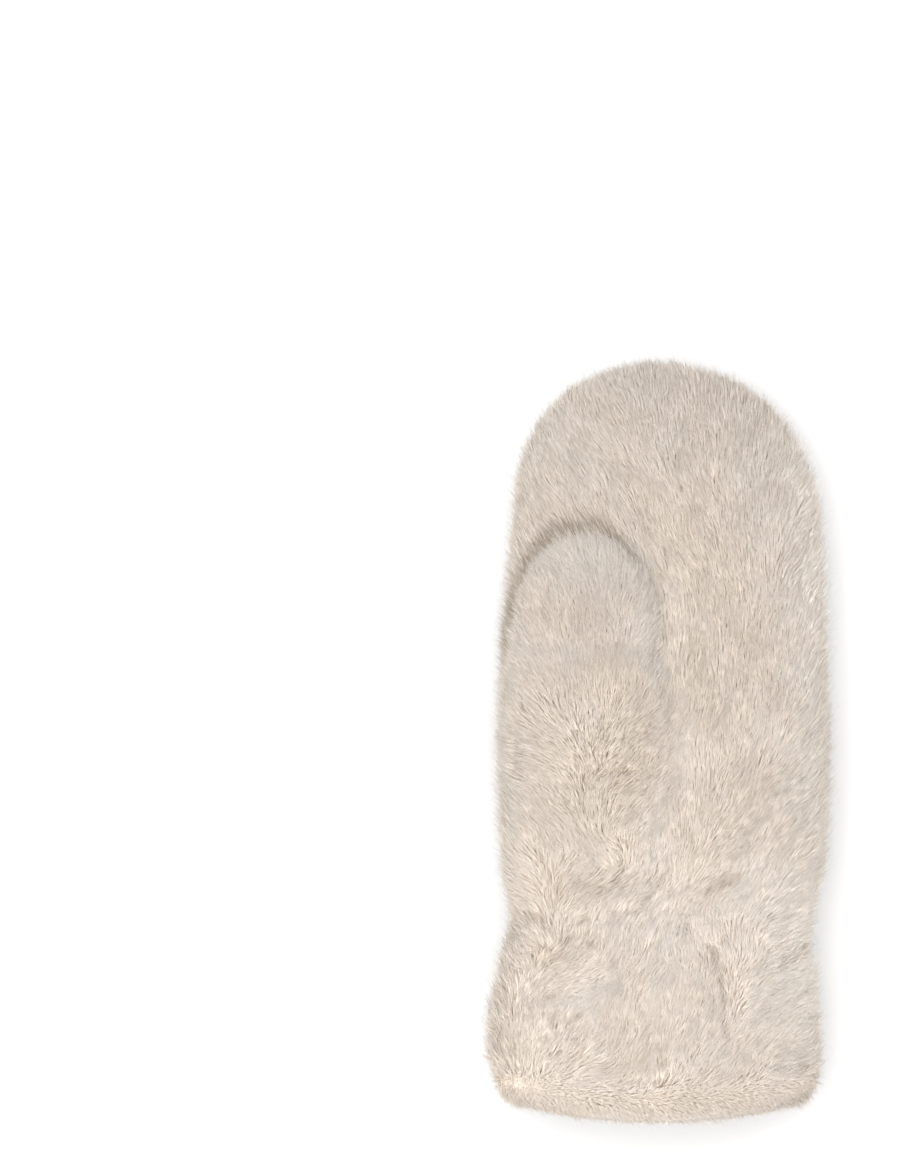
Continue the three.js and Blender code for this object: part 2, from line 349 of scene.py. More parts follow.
# The sections of the hand and cuff: station, left, right and top.
HAND_ROWS = table(
    """
    0 -56.2 55 43
    8 -61.1 59.8 46
    18 -62 59.8 48
    35 -62.1 58.8 48
    44 -60.5 58.4 47
    55 -58.5 57.8 45.5
    66 -55.9 55.4 42.5
    77 -52.7 56.6 40
    93 -55.7 60.4 43.5
    115 -57.6 62.5 45.5
    145 -56.8 63.1 46
    176 -56.4 62.3 45.5
    205 -54.5 61.8 44
    229 -52.5 60 41.8
    242 -53.1 58.8 41.3
    254 -53.6 58.4 41.2
    267 -54.8 58.7 41.2
    278 -56.3 58.9 41.2
    290 -58.1 59.6 41.2
    300 -56.9 58.4 41.2
    312 -55.1 55.4 41.2
    324 -55.1 55.4 41.2
    """,
    4,
)
# The sections of the thumb: along, left, right, rise and sink.
THUMB_ROWS = table(
    """
    106 -46 -22 5 9
    118 -50 -5 13 8
    130 -54.2 2 19 5
    145 -56.8 2.3 23 1
    160 -56.6 0.9 24 0
    172 -54.6 -0.6 23.6 0
    182 -52.8 -1.8 23 0
    190 -51.4 -2.2 22.8 0
    """,
    5,
)


@dataclass(frozen=True)
class HandForm:
    """The outer form of the hand and cuff: squarish sections that end in a round tip.

    around is the angle from the little-finger seam over the palm. station is the distance from the
    hem, and past tip_start it goes on round the fingertips, tip_arc to the last point.
    """

    rows: RowTable = RowTable(HAND_ROWS)
    length: float = 285.9
    tip_start: float = 229
    tip_arc: float = 95
    seam_height: float = 20
    roundness: float = 2.4
    belly: float = 1.08
    wrist: float = 77
    mouth_lift: float = 1.9
    mouth_bow: float = 6.6
    mouth_bow_power: float = 2.0
    mouth_bow_reach: float = 60
    gathers: tuple[Place, ...] = ((11, 0.4, 0.7), (7, 2.1, 0.5))
    gather_reach: float = 24

    @property
    def end(self) -> float:
        """The station of the last point of the fingertips."""
        return self.tip_start + self.tip_arc

    def gather(self, around: Array, along: Array) -> Array:
        """How far the wrist's gathers draw the wall in: cosines that fade from the wrist."""
        near = np.exp(-(((along - self.wrist) / self.gather_reach) ** 2))
        return sum(deep * np.cos(waves * around + phase) for waves, phase, deep in self.gathers) * near

    def point(self, around: Array, station: Array, depth: Array | float) -> Points:
        """A point of the wall.

        x is the section's middle plus its half width, less the depth and the gathers, times the
        squarish cosine of around. z is the seam's height plus the half height of that side, drawn in
        alike, times the squarish sine, less the dents and creases on the palm side. Past tip_start
        both shrink by the cosine of the tip's own angle, while along grows by its sine. The mouth's
        corners lead its middle by the bow.

        Args:
            around: the angle round the section.
            station: the distance from the hem, then round the tip.
            depth: how far the point lies inside the outer form.

        Returns:
            The points, in pattern millimetres.
        """
        along = np.minimum(station, self.tip_start)
        cap = np.clip((station - self.tip_start) / self.tip_arc, 0, 1) * math.pi / 2
        left, right, top = self.rows.at(station)
        shrink = np.cos(cap)
        palm_side = np.sin(around) >= 0
        share = squarish(np.cos(around), self.roundness)
        middle, half_width = (left + right) / 2, (right - left) / 2
        half_height = np.where(palm_side, top - self.seam_height, self.seam_height * self.belly)
        bow = self.mouth_lift + self.mouth_bow * np.abs(share) ** self.mouth_bow_power
        bow = bow * (1 - smooth_step(along, 0, self.mouth_bow_reach))
        tip = (self.length - self.tip_start - depth) * np.sin(cap)
        y = along + tip + bow
        drawn = depth + self.gather(around, along)
        x = middle + (half_width - drawn) * shrink * share
        rise = squarish(np.sin(around), self.roundness)
        z = self.seam_height + (half_height - drawn) * shrink * rise
        sunk = sum(d.depth * d.share(x, y) for d in DENTS)
        sunk = sunk + sum(c.depth * c.share(x, y) for c in CREASES)
        z = z - np.where(palm_side, sunk * np.sin(around) * shrink, 0)
        return np.stack([x, y, np.maximum(z, depth)], -1)

    def palm_height(self, x: Array, along: Array, depth: float = 0) -> Array:
        """The palm's height over a place short of the round tip.

        Args:
            x: places across.
            along: places along.
            depth: how far the skin lies inside the outer form.

        Returns:
            The heights.
        """
        left, right, _ = self.rows.at(along)
        share = np.clip((x - (left + right) / 2) / ((right - left) / 2 - depth), -1, 1)
        around = np.arccos(np.clip(np.sign(share) * np.abs(share) ** (self.roundness / 2), -1, 1))
        return self.point(around, np.minimum(along, self.tip_start), depth)[..., 2]


@dataclass(frozen=True)
class ThumbForm:
    """The outer form of the thumb: squarish sections that lie on the palm, round at both ends.

    settle is how far the root's end sinks into the palm, over settle_length. The bank that joins the
    palm to it has a fillet of the size blend, shrinks by tightening and turns from gentle to steep
    over the distances tighten past the root's end, and fades over the heights bank_side above the
    seam.
    """

    hand: HandForm = HandForm()
    rows: RowTable = RowTable(THUMB_ROWS)
    first: float = 106
    last: float = 190
    root_length: float = 9
    tip_length: float = 29.5
    tip_lean: float = 0.5
    seat: float = 0.4
    root_arc: float = 14
    tip_arc: float = 52
    settle: float = 13.0
    settle_length: float = 58
    least: float = 0.5
    blend: float = 7.0
    tighten: Span = (60, 115)
    tightening: float = 0.5
    bank_side: Span = (0.5, 12)
    blend_from: float = 172
    blend_to: float = 227
    gentle: float = 0.65
    steep: float = 2.4
    clear: float = 3.0

    def point(self, around: Array, station: Array, depth: Array | float) -> Points:
        """A point of the thumb's wall.

        Its sections are squarish ovals of the table's width and of rise above and sink below the
        palm's own height, and both shrink by the cosine of the angle through either round end, while
        along moves by its sine. The tip leans to the left by the share that it has shrunk, and the
        root settles into the palm.

        Args:
            around: the angle from the palm side's right over the top.
            station: the distance from the hem, less than first in the round root and more than last
                in the round tip.
            depth: how far the point lies inside the outer form.

        Returns:
            The points, in pattern millimetres.
        """
        along = np.clip(station, self.first, self.last)
        root = -np.clip((self.first - station) / self.root_arc, 0, 1)
        cap = (root + np.clip((station - self.last) / self.tip_arc, 0, 1)) * math.pi / 2
        left, right, *_ = self.rows.at(along)
        shrink = np.cos(cap)
        reach = np.where(cap < 0, self.root_length, self.tip_length) - depth
        lean = np.where(cap > 0, self.tip_lean * (1 - shrink), 0)
        middle = (left + right) / 2 - lean
        half_width = (right - left) / 2 - depth
        centre, half_height = self.upright(middle, along, depth)
        y = along + reach * np.sin(cap)
        x = middle + half_width * shrink * squarish(np.cos(around), self.hand.roundness)
        z = centre + half_height * shrink * squarish(np.sin(around), self.hand.roundness)
        return np.stack([x, y, z], -1)

    def upright(
        self, middle: Array, along: Array, depth: Array | float
    ) -> tuple[Array, Array]:
        """How high the sections lie and stand.

        Args:
            middle: their middles, across.
            along: where they are, short of both round ends.
            depth: how far inside the outer form.

        Returns:
            The height of each section's middle, and half its height.
        """
        *_, rise, sink = self.rows.at(along)
        settled = self.settle * (1 - smooth_step(along, self.first, self.first + self.settle_length))
        half_height = np.maximum((rise + sink) / 2 - depth - settled, self.least)
        bed = self.hand.palm_height(middle, along)
        return bed + self.seat + (rise - sink) / 2 - settled, half_height

    def top(self, x: Array, along: Array, depth: float) -> Array:
        """The height of the thumb's skin over a place short of its round tip.

        It is the section's middle height plus its half height times the superellipse of the way
        across and the circle of the way through the round root. Past its edge it keeps the middle's.

        Args:
            x: places across.
            along: places along.
            depth: how far the skin lies inside the outer form.

        Returns:
            The heights.
        """
        station = np.clip(along, self.first, self.last)
        left, right, *_ = self.rows.at(station)
        ahead = np.minimum(np.maximum(self.first - along, 0) / self.root_length, 1)
        aside = np.minimum(np.abs(x - (left + right) / 2) / ((right - left) / 2 - depth), 1)
        power = self.hand.roundness
        over = (1 - aside**power) ** (1 / power) * np.sqrt(1 - ahead**2)
        centre, half_height = self.upright((left + right) / 2, station, depth)
        return centre + half_height * over

    def bank(self, palm: Points, depth: float) -> Array:
        """How far the palm's skin rises to run smoothly up onto the thumb's root.

        Past the thumb's edge its height falls by a slope times the distance. With d for that height
        over the palm's, the bank is half of (d + the root of (d squared + blend squared)), so the
        two skins meet in one round fillet, which gets tighter towards the thumb's tip. It fades out
        between blend_from and blend_to, and down the mitten's own side.

        Args:
            palm: points of the palm's skin.
            depth: how far the skin lies inside the outer form.

        Returns:
            How far each point rises.
        """
        x, along, height = np.moveaxis(palm, -1, 0)
        left, right, *_ = self.rows.at(np.clip(along, self.first, self.last))
        aside = np.maximum(np.abs(x - (left + right) / 2) - (right - left) / 2 + depth, 0)
        tight = smooth_step(along, *(self.first + past for past in self.tighten))
        slope = self.gentle + (self.steep - self.gentle) * tight
        blend = self.blend * (1 - self.tightening * tight)
        beyond = np.hypot(slope * aside, self.gentle * np.maximum(self.first - along, 0))
        above = self.top(x, along, depth) - height - beyond
        lift = 0.5 * (above + np.sqrt(above**2 + blend**2))
        lift = lift * smooth_step(height, *(self.hand.seam_height + up for up in self.bank_side))
        return lift * (1 - smooth_step(along, self.blend_from, self.blend_to))

    def covers(self, palm: Points, depth: float, margin: float) -> Array:
        """Where the thumb hides the palm, well inside its outline and well above the palm's skin.

        Args:
            palm: points of the palm's skin.
            depth: how far both skins lie inside the outer forms.
            margin: how far inside the outline the place is.

        Returns:
            Whether each place is hidden.
        """
        x, along, height = np.moveaxis(palm, -1, 0)
        left, right, *_ = self.rows.at(along)
        past = np.clip((along - self.last) / (self.tip_length - margin), 0, 1)
        shrink = np.sqrt(1 - past**2)
        middle = (left + right) / 2 - self.tip_lean * (1 - shrink)
        half_width = ((right - left) / 2 - margin) * shrink
        above = self.top(x, along, depth) - height > self.clear
        inside = (along > self.first) & (along < self.last + self.tip_length - margin)
        return inside & above & (np.abs(x - middle) < half_width)


HAND = HandForm()
THUMB = ThumbForm()


# The way the pile lies

# How the pile is combed on the palm side: x, along, how far the stroke reaches, and its angle from
# the fingertips' way towards the little finger, in degrees.
COMB_STROKES = table(
    """
    -54 263 9 -32  -45 270 8 -28  -22 274 10 -22  -3 284 9 -14  -37 251 10 -27  -22 233 10 -20
    1 236 10 -21  -3 221 7 -26  -45 231 8 -28  -52 214 7 -32  -59 199 5 -60  8 274 9 -8  23 280 8 4
    16 255 10 -11  31 248 9 -2  46 251 8 12  54 244 6 32  59 229 5 44  42 236 8 3  16 229 10 -18
    31 214 10 -7  54 214 7 20  61 210 5 40  8 214 8 -20  12 184 9 -10  31 184 11 -5  50 184 8 14
    60 180 5 34  8 165 6 -2  31 163 8 3  31 150 6 13  43 150 5 7  52 150 6 28  61 146 5 34
    14 131 6 0  31 130 6 16  31 121 6 22  44 124 5 40  51 122 5 50  60 116 5 38  14 116 5 6
    6 110 5 -9  27 112 5 32  36 112 5 26  50 109 5 38  27 100 5 29  34 101 5 18  42 98 5 32
    52 97 5 46  60 93 5 38  -60 153 5 -40  -52 119 7 -45  -43 116 5 -36  -33 113 5 -40  -24 113 5 -4
    -15 113 5 40  -8 113 5 48  1 113 4 18  -1 104 4 16  -8 104 4 26  -16 104 4 -42  -24 104 4 -26
    -33 105 4 -20  -42 106 4 -16  -50 105 4 -36  -58 97 5 -56  -51 98 4 -66  -46 96 3 -52
    -50 91 3 -76  -45 90 3 -58  -45 84 3 -54  -41 90 3 -14  -40 84 3 0  -40 97 3.5 14  -32 97 4 54
    -57 90 4 -68  -57 84 4 -62  -51 84 3 -76  -36 90 3 40  -36 84 3 38  -31 89 4 60  -25 90 4 64
    -9 96 4 18  1 96 5 24  9 97 5 14  17 97 4 26  16 89 5 38  26 89 5 42  -17 88 4 56  -8 88 4 52
    -1 88 4 30  8 88 5 35  -44 80 3 -40  -51 80 3 -60  -43 72 3.5 -34  -38 75 3 -2  -38 70 3 0
    -32 80 3 52  -33 72 3.5 36  -25 80 3.5 28  -25 72 4 46  -50 70 4 -40  -60 66 5 -20
    -50 63 3.5 -38  -41 63 3 62  -33 63 3.5 58  -25 64 4 57  -49 55 3 33  -41 55 3.5 84
    -33 55 3.5 82  -25 55 4 60  -60 53 5 -14  -60 42 5 -24  -49 47 3.5 57  -41 47 3.5 80
    -33 47 3.5 72  -24 46 4 27  -16 63 5 22  -16 52 5 14  -7 66 5 22  -7 74 5 22  -16 74 4 26
    -16 82 4 32  -7 82 4 36  -7 52 5 28  1 48 5 17  -49 38 4 14  -41 38 4 30  -33 38 4 43
    -24 38 4 40  -15 38 4 12  -7 38 5 20  1 38 5 14  -50 29 4 16  -41 30 4 38  -33 30 4 38
    -24 30 4 52  -15 30 4 26  -7 28 5 22  -60 27 5 -14  -58 16 5 -20  -49 20 4 30  -41 21 4 48
    -33 21 4 62  -24 21 4 66  -15 21 4 46  -7 19 4 18  1 22 4 5  9 24 4 14  -41 13 4 66  -24 13 4 68
    -14 13 4 60  5 12 4 72  17 13 4 64  26 13 4 52  26 23 4 28  34 22 4 18  42 22 4 44  52 22 5 68
    34 13 4 40  44 12 4 72  17 23 4 29  26 31 3.5 6  34 31 4 18  42 31 4 38  52 32 5 64  60 33 4 20
    17 32 4 24  9 34 4 18  9 42 4 14  17 42 4 16  25 41 3 0  34 40 4 42  43 40 4 52  52 42 4 70
    25 49 3 -18  34 48 4 50  43 48 4 64  52 50 4 72  60 48 4 36  9 52 4 4  17 52 4 6  25 57 3 -20
    34 56 4 26  43 56 4 56  9 62 4 2  18 63 4 -7  26 64 4 -13  34 65 4 11  43 65 4 50  52 65 4 66
    60 62 4 16  9 72 4 12  18 72 4 4  26 73 4 2  34 73 4 18  43 73 4 48  51 73 4 66  60 74 4 24
    9 81 5 22  18 81 4 20  26 81 4 27  34 81 4 30  43 81 4 50  51 82 4 54  60 84 4 26  34 89 4 31
    44 89 4 33
    """,
    4,
)

# The same on the thumb.
THUMB_STROKES = table(
    """
    -37 223 8 -38  -26 221 7 -14  -22 214 7 -10  -14 219 6 -4  -52 199 7 -42  -50 186 6 -24
    -56 180 5 -40  -37 199 8 -22  -41 183 6 -20  -33 181 5 6  -26 192 7 -8  -24 178 5 4
    -16 187 5 -14  -11 199 7 12  -7 186 6 15  -7 176 6 16  -1 191 5 12  -22 170 6 5  -15 172 5 2
    -33 168 5 1  -41 168 5 -28  -7 165 6 23  1 165 5 18  -50 166 6 -40  -58 153 5 -36  -49 156 6 -48
    -41 156 5 -36  -33 156 5 -14  -49 148 5 -52  -41 147 5 -44  -33 148 5 -24  -24 155 5 -2
    -26 147 6 2  -16 155 5 14  -16 147 5 22  -7 150 5 30  2 150 5 24  -7 140 4 18  -16 139 5 20
    -25 139 6 0  -33 139 5 -26  -41 139 5 -42  -49 139 5 -50  -58 139 5 -44  2 138 5 26  2 128 4 42
    -7 124 5 54  -16 124 5 42  -22 131 5 22  -24 122 5 6  -33 124 5 -30  -41 130 4 -24
    -41 121 4 -32  -50 130 5 -45  -50 121 5 -47  -58 122 6 -40
    """,
    4,
)

# Round the thumb's root both skins are one, so each is combed with the other's strokes there.
ROOT_STROKES = THUMB_STROKES[THUMB_STROKES[:, 1] < 151]
FOOT_STROKES = COMB_STROKES[(COMB_STROKES[:, 1] < 118) & (COMB_STROKES[:, 0] < 12)]

# The back isn't seen: its pile runs to the fingertips and fans a little to both sides.
BACK_STROKES = table(
    """
    -50 40 30 -24  50 40 30 26  0 40 30 2  -50 150 40 -18  50 150 40 20  0 150 40 -3
    -45 240 30 -26  50 240 30 28  0 260 30 -4
    """,
    4,
)


@dataclass(frozen=True)
class Combing:
    """The way the pile lies, from strokes of a comb."""

    strokes: Array
    seed: int
    unrest: tuple[Span, ...]
    unsure: float = 45

    def course(self, points: Points) -> tuple[Array, Array]:
        """The angle of the strokes at each point, and how far they agree, from 0 to 1.

        Both are those of the strokes' mean, each weighed by 1 over (1 + (distance / reach) squared)
        cubed.

        Args:
            points: the places, in pattern millimetres.

        Returns:
            The angles in radians, from the fingertips' way to the right, and how far they agree.
        """
        x, along, reach, angle = self.strokes.T
        gap = (points[:, :1] - x) ** 2 + (points[:, 1:2] - along) ** 2
        weight = (1 + gap / reach**2) ** -3.0
        turned = np.radians(angle)
        right, forward = weight @ np.sin(turned), weight @ np.cos(turned)
        return np.arctan2(right, forward), np.hypot(right, forward) / weight.sum(-1)

    def ways(self, roots: Points, lead: float) -> Points:
        """The way of each hair, level, as seen from above.

        A hair is seen further on, so its way is the strokes' own lead ahead of its root, which is
        found in two steps. The unrest turns it: noise of each size in millimetres and spread in
        degrees. Where the strokes round it part, single hairs turn at random too, by unsure degrees
        times the root of the share of the strokes that cancel out.

        Args:
            roots: where the hairs grow.
            lead: how far ahead of its root the strokes turn a hair.

        Returns:
            The ways, of length one.
        """
        course, agreed = self.course(roots)
        for _ in range(2):
            ahead = roots + lead * np.stack([np.sin(course), np.cos(course), 0 * course], -1)
            course, _ = self.course(ahead)
        rng = np.random.default_rng(self.seed)
        spread = math.radians(self.unsure) * np.sqrt(1 - agreed)
        course = course + spread * rng.normal(size=len(roots))
        for i, (size, spread) in enumerate(self.unrest):
            course = course + math.radians(spread) * Ripple(self.seed + i, size).at(roots)
        return np.stack([np.sin(course), np.cos(course), 0 * course], -1)


@dataclass(frozen=True)
class Patch:
    """A place of the pile that is warmer or cooler, and lighter or darker, than the rest."""

    x: float
    along: float
    half_width: float
    half_length: float
    warmth: float
    # Partly the pile's own tone and partly painted light and shade.
    light: float

    def share(self, points: Points) -> Array:
        """How much of the patch is at each point: e to the -(its place in the oval) squared."""
        place = (points[:, :2] - (self.x, self.along)) / (self.half_width, self.half_length)
        return np.exp(-(place**2).sum(-1))


# Each patch: x, along, half width, half length, warmth and light. The light is partly the pile's
# own tone and partly painted light and shade: it lightens the pile where it faces away from the
# lamp and darkens it where shade falls, as under the folds.
PATCH_ROWS = table(
    """
    -26 212 18 10 -0.3 0.08  -8 282 50 10 -0.22 -0.04  52 250 16 26 -0.16 0.1
    62 215 9 40 -0.05 0.18  20 178 18 40 0.3 0.05  30 110 22 26 0.22 0.06  -56 140 8 30 -0.22 0
    -3 138 8 14 -0.26 0  -20 165 10 14 0.2 0  -8 146 5 12 0.3 -0.06  -12 133 12 12 0.28 -0.03
    -47 143 8 12 0 -0.09  -22 138 14 14 0.06 0.02  -26 152 8 8 0 0.07  -3 117 7 10 0 0.16
    8 140 8 24 0 0.2  -3 182 10 26 0 0.2  -55 71 8 8 -0.2 -0.26  0 35 120 62 0.06 0.19
    -5 92 45 16 0.06 0.06  -33 87 10 5 0 -0.1  -6 70 18 11 0 0.16  -28 47 12 8 0 0.19
    -58 45 6 16 -0.05 -0.12  52 50 26 42 0 0.14  18 84 46 16 0 0.06  62 140 20 90 -0.03 0.22
    -14 102 10 8 0.12 0.12  0 7 64 9 0.08 -0.13  -30 179 22 7 0 0.1  56 12 8 12 0 -0.18
    46 14 18 12 0 -0.1  4 94 5 6 0 0.1  24 11 20 6 0 -0.06  -56 26 7 14 0 -0.14  -48 12 12 10 0 -0.1
    66 130 7 130 0 -0.12  -42 147 6 6 0 -0.1  -6 163 6 6 0 -0.1  60 22 8 26 0 -0.1  50 3 9 6 0 -0.12
    44 70 20 40 -0.18 0  -26 134 14 18 0.14 0  0 50 62 46 0.16 0  0 262 60 24 -0.2 0
    8 165 10 55 0.2 0  36 32 20 12 0.18 0  -50 218 13 30 -0.16 0  -50 16 12 12 -0.16 0
    46 16 12 10 -0.2 0  -4 1 22 4 0 0.2  5 58 12 13 0 0.09  36 146 18 10 0 0.08  38 200 16 8 0 0.08
    5 190 5 17 0 0.13
    """,
    6,
)
PATCHES = tuple(Patch(*row) for row in PATCH_ROWS)


# Meshes


def mesh_object(name: str, points: Points, faces: Array) -> bpy.types.Object:
    """An object of pattern points and of faces with the same number of corners.

    Args:
        name: the piece's name.
        points: its points, in pattern millimetres.
        faces: for each face, the places of its corners.

    Returns:
        The object, in the scene.
    """
    mesh = bpy.data.meshes.new(name)
    mesh.vertices.add(len(points))
    mesh.vertices.foreach_set("co", to_metres(points).astype(np.float32).ravel())
    mesh.loops.add(faces.size)
    mesh.loops.foreach_set("vertex_index", faces.astype(np.int32).ravel())
    mesh.polygons.add(len(faces))
    starts = np.arange(0, faces.size, faces.shape[1], dtype=np.int32)
    mesh.polygons.foreach_set("loop_start", starts)
    mesh.update(calc_edges=True)
    mesh.validate()
    made = bpy.data.objects.new(name, mesh)
    bpy.context.scene.collection.objects.link(made)
    return made


def walled(name: str, outer: Points, inner: Points, kept: Array, ring: bool) -> bpy.types.Object:
    """A closed wall between two like grids of points, with a rim wherever it ends or has a hole.

    Each kept cell gives a face on both grids, the inner one turned round, and each edge that only
    one kept cell has gives a face of the rim.

    Args:
        name: the piece's name.
        outer: the hair side's points, by station and then across.
        inner: the hide side's points, in the same order.
        kept: which cells are there.
        ring: whether the last column joins the first.

    Returns:
        The object, with the hair side's material in place 0 and the hide side's in place 1.
    """
    rows, columns = outer.shape[:2]
    index = np.arange(rows * columns).reshape(rows, columns)
    if ring:
        index = np.concatenate([index, index[:, :1]], 1)
    corners = [index[:-1, :-1], index[1:, :-1], index[1:, 1:], index[:-1, 1:]]
    quads = np.stack(corners, -1)[kept]
    edges = np.concatenate([quads[:, [k, (k + 1) % 4]] for k in range(4)])
    key = np.sort(edges, axis=1) @ np.array([rows * columns, 1])
    _, back, counts = np.unique(key, return_inverse=True, return_counts=True)
    rim = edges[counts[back.ravel()] == 1]
    below = rows * columns
    rims = np.stack([rim[:, 1], rim[:, 0], rim[:, 0] + below, rim[:, 1] + below], -1)
    faces = np.concatenate([quads, quads[:, ::-1] + below, rims])
    points = np.concatenate([outer.reshape(-1, 3), inner.reshape(-1, 3)])
    made = mesh_object(name, points, faces)
    side = np.full(len(faces), Face.HIDE_SIDE.value, np.int32)
    side[: len(quads)] = Face.HAIR_SIDE.value
    made.data.polygons.foreach_set("material_index", side)
    shape = bmesh.new()
    shape.from_mesh(made.data)
    bmesh.ops.remove_doubles(shape, verts=shape.verts, dist=1e-6)
    if shape.calc_volume(signed=True) < 0:
        bmesh.ops.reverse_faces(shape, faces=shape.faces)
    shape.to_mesh(made.data)
    shape.free()
    made.data.shade_smooth()
    return made


@dataclass
class Follicles:
    """Where hairs grow: their places on the skin and the skin's outward way there.

    at holds the skin's two parameters at each place, and slopes how far the place moves with each.
    """

    skin: Surface
    at: Array
    points: Points
    normals: Points
    slopes: Array

    def kept(self, chosen: Array) -> "Follicles":
        """Only the chosen ones."""
        kept = (values[chosen] for values in (self.at, self.points, self.normals, self.slopes))
        return Follicles(self.skin, *kept)

    def thinned(self, share: Array, rng: Random) -> "Follicles":
        """A random share of them, from 0 to 1 at each place."""
        return self.kept(rng.random(len(share)) < share)

    def rise(self, moves: Points) -> Array:
        """How far the skin rises off the straight end of a move along it.

        The move is split over the two slopes by least squares, which gives new parameters and so
        the skin's place there. The rise is what that place lies off the straight end, measured
        outwards. A fall counts for a third, and both fade where the place is far off, which is
        where the skin ends or turns sharply.

        Args:
            moves: for each place, a move along the skin.

        Returns:
            The rises, as a column.
        """
        across, lengthways = self.slopes[:, 0], self.slopes[:, 1]
        aa, bb = dot(across, across), dot(lengthways, lengthways)
        ab = dot(across, lengthways)
        am, bm = dot(across, moves), dot(lengthways, moves)
        whole = np.maximum(aa * bb - ab * ab, 1e-9)
        u = self.at[:, :1] + (am * bb - bm * ab) / whole
        v = self.at[:, 1:] + (bm * aa - am * ab) / whole
        off = self.skin(u[:, 0], v[:, 0]) - self.points - moves
        far = np.linalg.norm(off, axis=-1, keepdims=True)
        length = np.linalg.norm(moves, axis=-1, keepdims=True)
        outwards = dot(off, self.normals) / (1 + (far / (0.3 * length + 0.1)) ** 4)
        return np.where(outwards > 0, outwards, outwards / 3)


def scatter(
    skin: Surface,
    across: Span,
    lengthways: Span,
    per_mm2: float,
    rng: Random,
    cells: tuple[int, int] = (160, 220),
    turn: float = 0.004,
    step: float = 0.25,
) -> Follicles:
    """Places spread evenly over a surface.

    The surface is cut into cells and each cell gets its share of the places by its area, at random
    spots in it. The skin's way there is the cross product of its two slopes, from small steps.

    Args:
        skin: the surface as a function of two parameters.
        across: the first parameter's range.
        lengthways: the second parameter's range.
        per_mm2: how many places a square millimetre has.
        rng: the source of random numbers.
        cells: how many cells the surface is cut into each way.
        turn: how far to each side its slope is taken along the first parameter.
        step: the same along the second.

    Returns:
        The places and the skin's ways.
    """
    us = np.linspace(*across, cells[0] + 1)
    vs = np.linspace(*lengthways, cells[1] + 1)
    grid = skin(*np.meshgrid(us, vs, indexing="ij"))
    areas = np.linalg.norm(
        np.cross(grid[1:, :-1] - grid[:-1, :-1], grid[:-1, 1:] - grid[:-1, :-1]), axis=-1
    ).ravel()
    count = int(areas.sum() * per_mm2)
    shares = np.cumsum(areas) / areas.sum()
    chosen = np.searchsorted(shares, (np.arange(count) + rng.random(count)) / count)
    column, row = np.divmod(np.minimum(chosen, len(areas) - 1), cells[1])
    u = us[column] + rng.random(count) * (us[1] - us[0])
    v = vs[row] + rng.random(count) * (vs[1] - vs[0])
    slope_u = (skin(u + turn, v) - skin(u - turn, v)) / (2 * turn)
    slope_v = (skin(u, v + step) - skin(u, v - step)) / (2 * step)
    slopes = np.stack([slope_u, slope_v], 1)
    at = np.stack([u, v], -1)
    return Follicles(skin, at, skin(u, v), unit(np.cross(slope_v, slope_u)), slopes)


# The pile


def crease_shade(points: Points, creases: tuple[Crease, ...]) -> Array:
    """The darkest that any crease makes each point, which fades down the mitten's sides.

    Args:
        points: the places, in pattern millimetres.
        creases: the creases.

    Returns:
        How much darker each point is painted, as painted shade.
    """
    shades = [c.shade * c.share(points[:, 0], points[:, 1]) for c in creases]
    fade = smooth_step(points[:, 2], *(HAND.seam_height + up for up in SHADE_COMES_IN))
    return np.max(shades, axis=0) * fade


